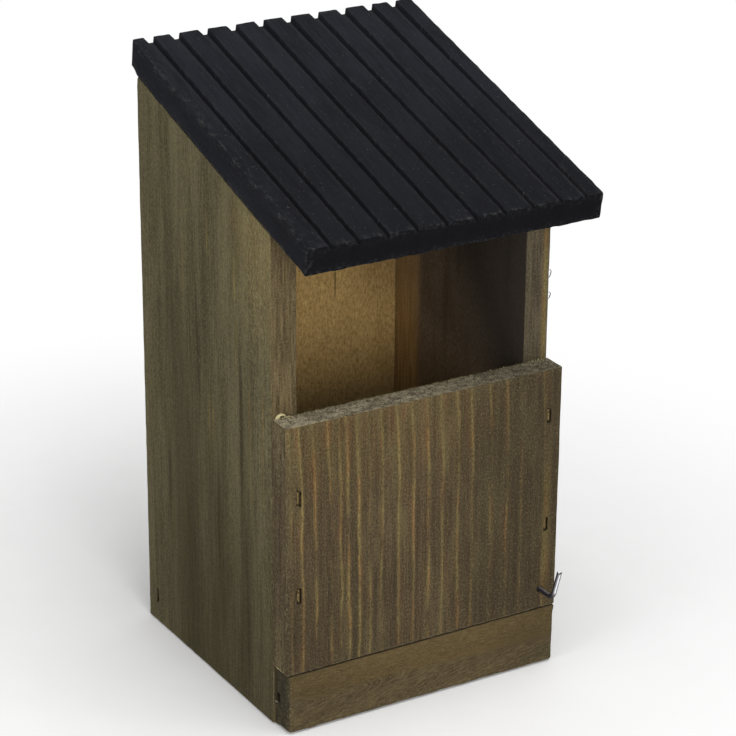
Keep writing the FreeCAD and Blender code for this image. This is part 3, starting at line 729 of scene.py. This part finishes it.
# %% Wire hook
HOOK_OUT, HOOK_LEG, HOOK_BEND, HOOK_TILT, WIRE = 10.0, 12.2, 2.4, math.radians(15.6), 1.1
PANEL_FACE, SHANK = -127.0, 11
WIRE_SIDES, PITCH, THREAD_END, THREAD_DEEP = 36, 1.25, 12.0, 0.17
TIP_RADII = (0.75, 0.4, 0.05)
LEG_STRAIGHT = HOOK_LEG - HOOK_BEND
stem = np.arange(0, SHANK + HOOK_OUT - HOOK_BEND, 0.2)
bend = np.linspace(0, math.pi / 2, 14)[1:]
leg = np.append(np.linspace(0, LEG_STRAIGHT - 0.03, 30)[1:], LEG_STRAIGHT - np.array([0.02, 0.01, 0]))
depth = np.concatenate([stem, stem[-1] + HOOK_BEND * np.sin(bend), np.full(len(leg), stem[-1] + HOOK_BEND)])
height = np.concatenate([0 * stem, HOOK_BEND * (1 - np.cos(bend)), HOOK_BEND + leg])
hook_x = HOOK_AT[0] + height * math.sin(HOOK_TILT)
hook_z = HOOK_AT[1] + height * math.cos(HOOK_TILT)
hook_path = np.stack([hook_x, PANEL_FACE + SHANK - depth, hook_z], axis=1)
winding = depth[:, None] / PITCH - np.arange(WIRE_SIDES) / WIRE_SIDES
ridge = np.abs((winding % 1.0) - 0.5) * 2
thread = THREAD_DEEP * (1 - ridge) * smooth(THREAD_END - depth, 0, 1.5)[:, None]
tip = np.concatenate([np.ones(len(depth) - len(TIP_RADII)), TIP_RADII])
wire = (WIRE * tip)[:, None] - thread
hook_place = {"body": "hook", "slot": "zinc_wire", "nodes": ("turn_hook",)}
hook = sweep("turn_hook_wire", hook_path, wire, WIRE_SIDES, **hook_place)
print("hook:", len(hook.data.vertices), "points; tip at", np.round(hook_path[-1], 1))


# %% Notch in the hook's tip
NOTCH, NOTCH_REACH = 1.4, 3.0
up_leg = np.array([math.sin(HOOK_TILT), 0, math.cos(HOOK_TILT)])
across_notch = np.array([0.818, -0.528, -0.228])
for point in hook.data.vertices:
    from_tip = np.array(point.co) / MM - hook_path[-1]
    share = np.clip(1 + from_tip @ up_leg / NOTCH_REACH, 0, 1) ** 2
    point.co -= Vector(MM * NOTCH * share * (1 - min(1, abs(from_tip @ across_notch) / WIRE)) * up_leg)
print("the notch is", NOTCH, "mm deep")


# %% [markdown]
# Sawing leaves torn fibres. A pale splinter lies at the left end of the front panel's upper edge, thinner
# ones mark the panel's lower edge and the joint beside the strip, and a flake hangs under the strip's
# chip. Two thin fibres curl off the right side's front corner, and short fuzz stands along the sawn upper
# edge. They are small, but bare wood catches the eye on a dark stain, so each gets its own mesh.

# %% Splinters
ON_PANEL = {"slot": "stained_front"}
ON_STRIP = {"body": "slide_out_floor", "slot": "stained_strip"}
TORN = {
    "corner_splinter": (
        [(-66.2, -115.6, 137.5), (-65.4, -115.6, 138.1), (-64.0, -115.5, 138.8), (-62.6, -115.4, 139.2)],
        [0.22, 0.42, 0.44, 0.15], ON_PANEL),
    "corner_flap": (
        [(-65.0, -115.7, 138.3), (-64.0, -115.3, 139.4), (-62.5, -115.1, 139.9), (-60.9, -115.1, 139.6),
         (-59.7, -115.3, 138.6)], [0.2, 0.5, 0.62, 0.5, 0.2], ON_PANEL),
    "corner_sliver": (
        [(-62.4, -116.2, 138.7), (-60.6, -116.4, 139.1), (-58.8, -116.8, 139.1), (-57.0, -117.4, 138.7)],
        [0.15, 0.4, 0.4, 0.12], ON_PANEL),
    "foot_splinter": (
        [(-66.2, -115.1, 26.6), (-66.2, -115.15, 22.0), (-66.2, -115.15, 17.0), (-66.2, -115.1, 12.0),
         (-66.2, -115.0, 6.0)], [0.08, 0.14, 0.1, 0.14, 0.06], ON_PANEL),
    "chip_flake": (
        [(-65.9, -115.7, 11.2), (-65.9, -116.8, 11.3), (-65.9, -118.3, 11.7)], [0.2, 0.5, 0.15], ON_STRIP),
    "foot_line": (
        [(-66.2, -115.2, 28.5), (-66.25, -118, 28.0), (-66.25, -122, 27.9), (-66.2, -126.4, 28.0)],
        [0.1, 0.2, 0.16, 0.1], ON_PANEL),
}


def torn(name, knots, radii, place):
    """A splinter: a thin tube whose path and thickness run smoothly through a few knots."""
    t = np.linspace(0, len(knots) - 1, 6 * len(knots))
    at = np.arange(len(knots))
    path = np.stack([np.interp(t, at, axis) for axis in np.transpose(knots)], axis=1)
    path[1:-1] = (path[:-2] + 2 * path[1:-1] + path[2:]) / 4
    thick = np.interp(t, at, radii) * (1 + 0.3 * lumps(path * 3, 1, 18))
    return sweep(name, path, thick, 7, **place)


splinters = {name: torn(name, *shape) for name, shape in TORN.items()}
print("splinters:", list(splinters))


# %% Curled fibres and fuzz
FIBRE = 0.19
FUZZ_HALF, FUZZ_FRONT, FUZZ_BACK, FUZZ_FOOT = 65.5, -126.2, -115.4, 138.2


def curl(name, start, reach, drop, lean_out):
    """A thin fibre that curls out of a corner and back to it."""
    t = np.linspace(0, 1, 16)[:, None]
    bow = np.sin(math.pi * t) ** 0.7 * (reach, lean_out, 0)
    path = np.array(start) + t * (0, 0, -drop) + bow + np.sin(2 * math.pi * t) * (0.3, 0, 0.5)
    return sweep(name, path, FIBRE * np.sin(math.pi * np.linspace(0.1, 0.9, 16)), 6, slot="stained_side")


def fuzz(name, count, seed):
    """Short torn fibres along the front panel's sawn upper edge, most of them near its back rim."""
    draw = np.random.default_rng(seed)
    points, faces = [], []
    for i in range(count):
        x = draw.uniform(-FUZZ_HALF, FUZZ_HALF)
        if draw.random() < 0.65:
            y = FUZZ_BACK - abs(draw.normal(0, 1.0))
        else:
            y = draw.uniform(FUZZ_FRONT, FUZZ_BACK)
        tall, wide, turn = draw.uniform(0.25, 0.85), draw.uniform(0.12, 0.3), draw.uniform(0, math.pi)
        foot = np.array([x, y, FUZZ_FOOT])
        across = wide * np.array([math.cos(turn), math.sin(turn), 0])
        away = np.array([-across[1], across[0], 0]) * 0.6
        peak = foot + (draw.normal(0, 0.25), draw.normal(0, 0.25), 0.6 + tall)
        points += [foot - across - away, foot + across - away, foot + 1.2 * away, peak]
        b = 4 * i
        faces += [(b, b + 1, b + 3), (b + 1, b + 2, b + 3), (b + 2, b, b + 3), (b + 2, b + 1, b)]
    return piece(name, points, faces, slot="stained_front")


upper_fibre = curl("upper_fibre", (65.9, -114.5, 178.2), 1.0, 3.6, -0.6)
lower_fibre = curl("lower_fibre", (65.9, -114.5, 168.0), 1.1, 2.8, -0.5)
panel_fuzz = fuzz("panel_fuzz", 420, 17)
print("fibres:", upper_fibre.name, lower_fibre.name, panel_fuzz.name)


# %% [markdown]
# Materials come next. Each is a chain of nodes, so a small helper adds a node and hands back its output.
# Colours are written as they look on a screen, from 0 to 255, and turned into the linear values that
# shaders use. Constant numbers are set straight on the shader's own sockets.

# %% A helper for materials
def stain(*screen):
    """A screen colour as linear red, green, blue and alpha."""
    parts = [c / 255 for c in screen]
    return tuple(c / 12.92 if c <= 0.04045 else ((c + 0.055) / 1.055) ** 2.4 for c in parts) + (1.0,)


class Finish:
    """A material while it is built: each call adds one node and gives its output."""

    def __init__(self, name):
        self.material = bpy.data.materials.new(name)
        self.material.use_nodes = True
        self.tree = self.material.node_tree
        self.shader = self.tree.nodes["Principled BSDF"]

    def feed(self, socket, value):
        """Link an output to a socket, or set a constant on it."""
        if isinstance(value, bpy.types.NodeSocket):
            self.tree.links.new(value, socket)
        else:
            socket.default_value = value

    def add(self, kind, inputs, output=0, **settings):
        """A node of one kind, with its settings made and its inputs fed."""
        node = self.tree.nodes.new("ShaderNode" + kind)
        for name, value in settings.items():
            setattr(node, name, value)
        for socket, value in inputs.items():
            self.feed(node.inputs[socket], value)
        return node.outputs[output]

    def mask(self, name, output=2):
        """A value that the mesh carries at its points."""
        return self.add("Attribute", {}, output, attribute_name=name)

    def noise(self, size, detail=3.0, rough=0.55, bend=0.0):
        """Noise in lumps of a size in mm across and along the grain."""
        place = self.mask("place", 1)
        scaled = self.add("VectorMath", {0: place, 1: tuple(1 / s for s in size)}, operation="MULTIPLY")
        texture = {"Scale": 1.0, "Detail": detail, "Roughness": rough, "Distortion": bend}
        return self.add("TexNoise", {"Vector": scaled, **texture})

    def span(self, value, low, high, start=0.0, end=1.0):
        """Ease from start to end while a value goes from low to high."""
        ends = {0: value, 1: low, 2: high, 3: start, 4: end}
        return self.add("MapRange", ends, interpolation_type="SMOOTHSTEP")

    def plus(self, a, b):
        return self.add("Math", {0: a, 1: b}, operation="ADD")

    def times(self, a, b):
        return self.add("Math", {0: a, 1: b}, operation="MULTIPLY")

    def most(self, a, b):
        return self.add("Math", {0: a, 1: b}, operation="MAXIMUM")

    def mix(self, share, a, b):
        """A colour between two others, each an output or a screen colour."""
        a, b = (stain(*c) if isinstance(c, tuple) else c for c in (a, b))
        return self.add("Mix", {0: share, 6: a, 7: b}, 2, data_type="RGBA")

    def surface(self, colour, rough, relief, depth, gloss=0.3):
        """Wire up the shader: colour, roughness and a fine relief whose depth is in mm."""
        bump = self.add("Bump", {"Height": relief, "Distance": depth * MM, "Strength": 1.0})
        self.feed(self.shader.inputs["Base Color"], colour)
        self.feed(self.shader.inputs["Roughness"], rough)
        self.feed(self.shader.inputs["Normal"], bump)
        self.shader.inputs["Specular IOR Level"].default_value = gloss
        return self.material


print("one fifth grey in linear light:", round(stain(51, 51, 51)[0], 3))


# %% [markdown]
# One wood recipe serves every stained board. It starts with long fibres between a deep and a pale tone,
# then lays blotches, resin streaks, late wood, end grain, worn rims and specks over it, with a patch of
# painted light on the sides among them. Last come stain soaked in deeper and painted shade in broad
# places, and painted shade in the pits. Each board passes its own tones.

# %% Places with less stain, wear and specks
def paler_places(wood, colour, fibre, inner, corner, front_edge):
    """The inner faces, the corners by the back panel and the front edges, each in two tones of its own."""
    if inner:
        dash = wood.span(wood.noise((0.8, 0.8, 2.4), 3.0, 0.65), 0.22, 0.78)
        patch = wood.noise((9.0, 9.0, 34.0), 3.0, 0.55)
        inside = wood.mix(dash, *inner)
        inside = wood.mix(wood.span(patch, 0.5, 0.75, 0.0, 0.5), inside, inner[0])
        colour = wood.mix(wood.mask("inner"), colour, inside)
    if corner:
        bare_corner = wood.mix(wood.span(fibre, 0.35, 0.65), *corner)
        colour = wood.mix(wood.mask("corner"), colour, bare_corner)
    if front_edge:
        mottle = wood.span(wood.noise((1.5, 1.5, 26.0), 5.0, 0.7), 0.32, 0.68)
        colour = wood.mix(wood.mask("front_edge"), colour, wood.mix(mottle, *front_edge))
    return colour


def wear_and_specks(wood, colour, grit, fleck, deep, worn, speckle):
    """Rubbed rims in the worn tone, then fine specks, darker and paler than the stain."""
    rub = wood.span(wood.noise((1.0, 1.0, 2.2), 5.0, 0.75), 0.46, 0.7, 0.0, 0.65)
    colour = wood.mix(wood.times(wood.mask("wear"), rub), colour, worn)
    half_deep = tuple(0.5 * c for c in deep)
    colour = wood.mix(wood.span(grit, 0.28, 0.54, 0.9 * speckle, 0.0), colour, half_deep)
    colour = wood.mix(wood.span(grit, 0.5, 0.74, 0.0, 0.45 * speckle), colour, worn)
    colour = wood.mix(wood.span(fleck, 0.58, 0.8, 0.0, 0.35 * speckle), colour, worn)
    speck = wood.span(wood.noise((0.7, 0.7, 0.9), 1.0, 0.4), 0.735, 0.8, 0.0, 0.7)
    return wood.mix(speck, colour, worn)


# %% Stained wood
def stained_wood(name, deep, pale, ring=(130, 114, 62), warm=(132, 98, 50), blotch=(64, 60, 42),
                 streak_and_shade=(42, 36, 24), end=((90, 83, 61), (114, 106, 80)), worn=(128, 118, 86), inner=None,
                 corner=None, front_edge=None, fibre_size=(0.5, 0.5, 17.0), fibre_share=0.5, ring_share=0.9,
                 speckle=0.2, bright=(150, 134, 92), band_size=(4.5, 4.5, 190.0),
                 cloud_size=(15.0, 15.0, 60.0), soak_and_shade_tone=(30, 26, 20), pit_shade_tone=(30, 23, 14)):
    """A matt stain on softwood, whose masks come from the board's mesh."""
    wood = Finish(name)
    fibre = wood.noise(fibre_size, 4.0, 0.6, 0.1)
    fleck = wood.noise((0.55, 0.55, 2.6), 2.0, 0.6)
    cloud = wood.noise(cloud_size, 4.0, 0.6)
    band = wood.noise(band_size, 3.0, 0.55)
    grit = wood.noise((0.75, 0.75, 1.0), 2.0, 0.7)
    tone = wood.plus(wood.times(fibre, fibre_share), wood.times(band, 1.5 - fibre_share))
    colour = wood.mix(wood.span(tone, 0.5, 1.0), deep, pale)
    colour = wood.mix(wood.span(cloud, 0.48, 0.72, 0.0, 0.5), colour, blotch)
    colour = paler_places(wood, colour, fibre, inner, corner, front_edge)
    # Resin streaks, and on the front panel broad painted shade.
    dark = wood.times(wood.mask("streak_and_shade"), wood.span(fibre, 0.3, 0.7, 0.65, 1.0))
    colour = wood.mix(dark, colour, streak_and_shade)
    tint = wood.mix(wood.span(wood.noise((4.0, 4.0, 26.0), 2.0), 0.45, 0.62), ring, warm)
    late = wood.times(wood.mask("ring"), wood.span(fleck, 0.25, 0.7, 0.5 * ring_share, ring_share))
    colour = wood.mix(late, colour, tint)
    # Bright ring edges, and on the sides a patch of painted light.
    line = wood.times(wood.mask("edge"), wood.span(fleck, 0.3, 0.65, 0.25, 0.85))
    colour = wood.mix(line, colour, wood.mix(0.5, tint, bright))
    sawn = wood.plus(wood.times(grit, 0.5), wood.times(wood.noise((2.6, 2.6, 2.6), 3.0), 0.5))
    across = wood.mix(wood.span(sawn, 0.38, 0.62), *end)
    colour = wood.mix(wood.times(wood.mask("end"), 0.9), colour, across)
    colour = wear_and_specks(wood, colour, grit, fleck, deep, worn, speckle)
    # Painted shade, and places where the stain soaked in deeper.
    colour = wood.mix(wood.mask("soak_and_shade"), colour, soak_and_shade_tone)
    # Painted shade in slits, holes, the crack and the chip.
    colour = wood.mix(wood.mask("pit_shade"), colour, pit_shade_tone)
    rough = wood.span(fibre, 0.3, 0.7, 0.95, 0.8)
    relief = wood.plus(wood.times(fibre, 0.6), wood.times(fleck, 0.6))
    return wood.surface(colour, rough, wood.plus(relief, wood.times(grit, 0.5)), 0.2, 0.1)


# %% Stain on each board
def dress(made, material):
    """Give a piece its material."""
    made.data.materials.clear()
    made.data.materials.append(material)


side_tones = dict(deep=(66, 60, 41), pale=(92, 86, 62), blotch=(74, 68, 48), streak_and_shade=(42, 34, 20),
                  speckle=0.58, band_size=(9.0, 9.0, 150.0), fibre_size=(1.0, 1.0, 22.0), fibre_share=0.7)
left_inside = dict(inner=((84, 70, 46), (118, 100, 70)), corner=((150, 120, 74), (186, 152, 98)),
                   front_edge=((62, 52, 34), (108, 93, 66)), soak_and_shade_tone=(40, 35, 16))
right_inside = dict(inner=((118, 101, 83), (162, 142, 119)), corner=((174, 140, 91), (206, 170, 117)),
                    front_edge=((57, 50, 39), (85, 76, 60)), soak_and_shade_tone=(40, 37, 34))
panel_tones = dict(blotch=(96, 87, 60), warm=(146, 102, 52), end=((94, 87, 70), (188, 177, 150)),
                   fibre_share=0.8, speckle=0.66, band_size=(2.0, 2.0, 80.0), cloud_size=(10.0, 10.0, 36.0))
# The back's pale worn tone also gives the painted band of light inside.
back_tones = dict(inner=((150, 120, 71), (202, 167, 107)), worn=(218, 190, 128), speckle=0.35)
strip_tones = dict(ring=(86, 70, 39), warm=(91, 74, 40), end=((30, 26, 19), (54, 48, 35)), speckle=0.3,
                   fibre_size=(0.4, 0.4, 5.0), fibre_share=1.2, ring_share=0.6, pit_shade_tone=(9, 8, 6))
dress(left_side, stained_wood("left_side_stain", **left_inside, **side_tones))
dress(right_side, stained_wood("right_side_stain", **right_inside, **side_tones))
dress(front_panel, stained_wood("front_stain", (54, 44, 32), (85, 71, 51), **panel_tones))
dress(back_panel, stained_wood("back_stain", (70, 63, 44), (98, 89, 63), **back_tones))
dress(strip_front, stained_wood("strip_stain", (51, 42, 29), (96, 82, 57), **strip_tones))
dress(floor_board, stained_wood("floor_stain", (88, 72, 46), (128, 106, 70)))
batten_stain = stained_wood("batten_stain", (82, 70, 48), (118, 100, 70))
dress(left_runner, batten_stain)
dress(right_runner, batten_stain)
print("wood finishes:", [m.name for m in bpy.data.materials if m.name.endswith("stain")])


# %% [markdown]
# The roof's black stain lies on sawn wood, so it is never one even black. Saw strokes and fibres change
# its tone a little, dust sits in it as tiny pale specks, and its rims and the lips of its grooves have
# worn to grey. It is darker towards the front, painted shade darkens its left face, and painted light
# makes its grooves paler.

# %% Black roof stain
def black_stain():
    """The roof's thin black coat, whose masks come from the roof's mesh."""
    coat = Finish("black_roof_stain")
    fibre = coat.noise((1.1, 1.1, 14.0), 4.0, 0.6)
    cloud = coat.noise((20.0, 20.0, 45.0), 3.0, 0.5)
    grit = coat.noise((0.5, 0.5, 0.5), 3.0, 0.75)
    dust = coat.noise((0.62, 0.62, 0.8), 1.0, 0.4)
    colour = coat.mix(coat.span(coat.plus(fibre, cloud), 0.75, 1.25), (27, 28, 32), (36, 37, 42))
    # Darker towards the front, and painted shade on the left face.
    colour = coat.mix(coat.mask("soak_and_shade"), colour, (19, 19, 22))
    colour = coat.mix(coat.span(dust, 0.7, 0.8, 0.0, 0.5), colour, (100, 100, 98))
    rims = coat.most(coat.mask("wear"), coat.times(coat.mask("lip"), 0.45))
    chafe = coat.times(rims, coat.span(coat.noise((1.5, 1.5, 3.0), 4.0, 0.7), 0.45, 0.76, 0.0, 0.6))
    colour = coat.mix(coat.times(coat.mask("end"), 0.8), colour, (13, 13, 16))
    colour = coat.mix(chafe, colour, (84, 84, 84))
    # Painted light in the grooves.
    colour = coat.mix(coat.times(coat.mask("groove"), 0.8), colour, (50, 50, 55))
    relief = coat.plus(coat.times(grit, 0.8), fibre)
    return coat.surface(colour, coat.span(grit, 0.3, 0.7, 0.98, 0.85), relief, 0.3, 0.04)


dress(roof_board, black_stain())
print("roof finish:", roof_board.data.materials[0].name)


# %% [markdown]
# The metal pieces and the bare splinters are small, yet a flat colour would still show. Zinc gets cloudy
# spangle with a painted white highlight down the wire and painted shade on its flanks, the staples get a
# dull brassy lacquer, the brads bright wire, and torn fibres pale or stained wood. These pieces have no
# board coordinates, so they use their own object coordinates.

# %% Wire, staples, brads and bare fibres
def small_finish(name, low, high, metallic, rough, size, relief=0.03, highlighted=None):
    """A finish for a small piece, cloudy between two tones in lumps of a size in mm."""
    made = Finish(name)
    place = made.add("TexCoord", {}, 3)
    scaled = made.add("VectorMath", {0: place, 1: tuple(1000 / s for s in size)}, operation="MULTIPLY")
    cloud = made.add("TexNoise", {"Vector": scaled, "Scale": 1.0, "Detail": 4.0, "Roughness": 0.65})
    scratch = made.add("TexNoise", {"Vector": scaled, "Scale": 4.0, "Detail": 2.0, "Roughness": 0.6})
    colour = made.mix(made.span(cloud, 0.35, 0.68), low, high)
    # Painted shade on the wire's flanks, then a painted white highlight down its middle.
    if highlighted:
        colour = made.mix(made.span(made.mask("highlighted"), 0.45, 0.72), highlighted[0], colour)
        colour = made.mix(made.span(made.mask("highlighted"), 0.755, 0.795), colour, highlighted[1])
    made.shader.inputs["Metallic"].default_value = metallic
    sheen = made.span(scratch, 0.3, 0.7, rough, rough + 0.22)
    return made.surface(colour, sheen, made.plus(cloud, scratch), relief, 0.5)


wire_size = (1.6, 4.0, 1.6)
# Tones of the wire's painted shade and painted highlight.
shade_and_highlight = ((38, 37, 42), (220, 222, 228))
zinc = small_finish("zinc_plate", (106, 103, 105), (140, 136, 138), 0.3, 0.34, wire_size, highlighted=shade_and_highlight)
lacquer = small_finish("staple_lacquer", (68, 56, 35), (150, 130, 88), 1.0, 0.4, (0.5, 0.5, 1.6))
bright = small_finish("brad_wire", (120, 116, 110), (176, 172, 164), 1.0, 0.35, (0.6, 0.6, 2.0))
bare = small_finish("bare_fibre", (176, 164, 116), (214, 204, 158), 0.0, 0.7, (0.5, 0.5, 3.0), 0.1)
grey_fibre = small_finish("sawn_fuzz", (112, 103, 74), (160, 150, 112), 0.0, 0.8, (1.2, 1.2, 1.2), 0.1)
dull_fibre = small_finish("dull_fibre", (74, 68, 52), (122, 114, 90), 0.0, 0.8, (0.9, 0.9, 0.9), 0.1)
dark_fibre = small_finish("stained_fibre", (26, 23, 20), (52, 47, 40), 0.0, 0.8, (0.6, 0.6, 0.6), 0.1)
dress(hook, zinc)
for node in ("front_staples", "side_staples"):
    dress(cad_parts[node], lacquer)
for node in ("roof_brads", "runner_brads", "floor_brads"):
    dress(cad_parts[node], bright)
for name in ("corner_splinter", "corner_flap", "foot_line"):
    dress(splinters[name], bare)
for name in ("foot_splinter", "chip_flake"):
    dress(splinters[name], dull_fibre)
for made in (splinters["corner_sliver"], panel_fuzz):
    dress(made, grey_fibre)
for made in (upper_fibre, lower_fibre):
    dress(made, dark_fibre)
print("materials in all:", len(bpy.data.materials))


# %% [markdown]
# The stage is a pale floor that turns to plain white away from the box, so it meets the white world
# without an edge and still keeps the soft shadow. The world is white to the camera and to reflections,
# and dimmer as a light.

# %% Floor and world
AMBIENT = 0.5
FLOOR_HALF, FLOOR_LEVEL = 12.0, -0.0004
SHADED_TO, WHITE_FROM = 0.13, 0.34


def seen_directly(tree):
    """An output that is one for rays from the camera, mirrors and glass, and nought for other light."""
    rays = tree.nodes.new("ShaderNodeLightPath")
    seen = rays.outputs["Is Camera Ray"]
    for kind in ("Is Glossy Ray", "Is Transmission Ray"):
        most = tree.nodes.new("ShaderNodeMath")
        most.operation = "MAXIMUM"
        tree.links.new(seen, most.inputs[0])
        tree.links.new(rays.outputs[kind], most.inputs[1])
        seen = most.outputs[0]
    return seen


def white_floor(half):
    """A wide floor, pale and shaded near the box and plain white farther out."""
    mesh = bpy.data.meshes.new("floor")
    corners = [(-half, -half, 0), (half, -half, 0), (half, half, 0), (-half, half, 0)]
    mesh.from_pydata(corners, [], [(0, 1, 2, 3)])
    made = bpy.data.objects.new("floor", mesh)
    bpy.context.scene.collection.objects.link(made)
    paint = Finish("pale_floor")
    place = paint.add("TexCoord", {}, 3)
    out_from_box = paint.add("VectorMath", {0: place}, 1, operation="LENGTH")
    far = paint.span(out_from_box, SHADED_TO, WHITE_FROM)
    grain = paint.add("TexNoise", {"Vector": place, "Scale": 40.0, "Detail": 2.0})
    paint.feed(paint.shader.inputs["Base Color"], paint.mix(grain, (246, 246, 246), (250, 250, 250)))
    paint.shader.inputs["Roughness"].default_value = 0.9
    white = paint.add("Emission", {"Color": (1, 1, 1, 1), "Strength": 1.0})
    share = paint.times(far, seen_directly(paint.tree))
    blend = paint.add("MixShader", {0: share, 1: paint.shader.outputs[0], 2: white})
    paint.feed(paint.tree.nodes["Material Output"].inputs["Surface"], blend)
    mesh.materials.append(paint.material)
    made.location.z = FLOOR_LEVEL
    return made


floor = white_floor(FLOOR_HALF)
world = bpy.data.worlds.new("studio")
bpy.context.scene.world = world
world.use_nodes = True
sky = world.node_tree
level = sky.nodes.new("ShaderNodeMapRange")
level.inputs["To Min"].default_value = AMBIENT
level.inputs["To Max"].default_value = 1.0
sky.links.new(seen_directly(sky), level.inputs["Value"])
sky.links.new(level.outputs[0], sky.nodes["Background"].inputs["Strength"])
sky.nodes["Background"].inputs["Color"].default_value = (1, 1, 1, 1)
print("stage:", floor.name, "and", world.name)


# %% [markdown]
# Large soft lamps do the work. One broad lamp in front reaches through the opening onto the back panel and
# only grazes the inside of the right wall. One on the left lights the long side, and one above the roof.

# %% Soft lamps
def soft_lamp(name, at, aim, size, power):
    """A square lamp of a size in metres that looks from one point to another."""
    lamp = bpy.data.lights.new(name, "AREA")
    lamp.shape, lamp.size, lamp.energy = "SQUARE", size, power
    made = bpy.data.objects.new(name, lamp)
    bpy.context.scene.collection.objects.link(made)
    made.location = at
    made.rotation_euler = (Vector(aim) - Vector(at)).to_track_quat("-Z", "Y").to_euler()
    print(name, "of", power, "watts")


soft_lamp("front_lamp", (-0.25, -1.75, 0.6), (0, -0.06, 0.15), 1.0, 16)
soft_lamp("left_lamp", (-1.6, -0.35, 0.45), (0, -0.06, 0.13), 0.9, 8)
soft_lamp("top_lamp", (0.1, -0.5, 1.7), (0, -0.06, 0.15), 0.9, 11)


# %% [markdown]
# The camera stands where the corners of the box in the picture say it stood: to the left, a little above
# the roof, with a long lens. Its direction is written as a bearing, a tilt and a small roll.

# %% Camera
EYE = Vector((-0.55469, -1.00467, 0.57916))
BEARING, TILT, ROLL = (math.radians(a) for a in (30.9316, 22.3939, 0.4360))
LENS, SENSOR = 135.3, 36.0
ahead = Vector((math.cos(TILT) * math.sin(BEARING), math.cos(TILT) * math.cos(BEARING), -math.sin(TILT)))
right = Vector((math.cos(BEARING), -math.sin(BEARING), 0))
up = right.cross(ahead)
rolled_right = right * math.cos(ROLL) + up * math.sin(ROLL)
rolled_up = up * math.cos(ROLL) - right * math.sin(ROLL)
lens = bpy.data.cameras.new("camera")
lens.lens, lens.sensor_width = LENS, SENSOR
camera = bpy.data.objects.new("camera", lens)
bpy.context.scene.collection.objects.link(camera)
turn = Matrix((rolled_right, rolled_up, -ahead)).transposed().to_4x4()
camera.matrix_world = Matrix.Translation(EYE) @ turn
bpy.context.scene.camera = camera
bpy.context.scene.view_settings.view_transform = "Standard"
print("camera at", tuple(round(v, 3) for v in EYE))
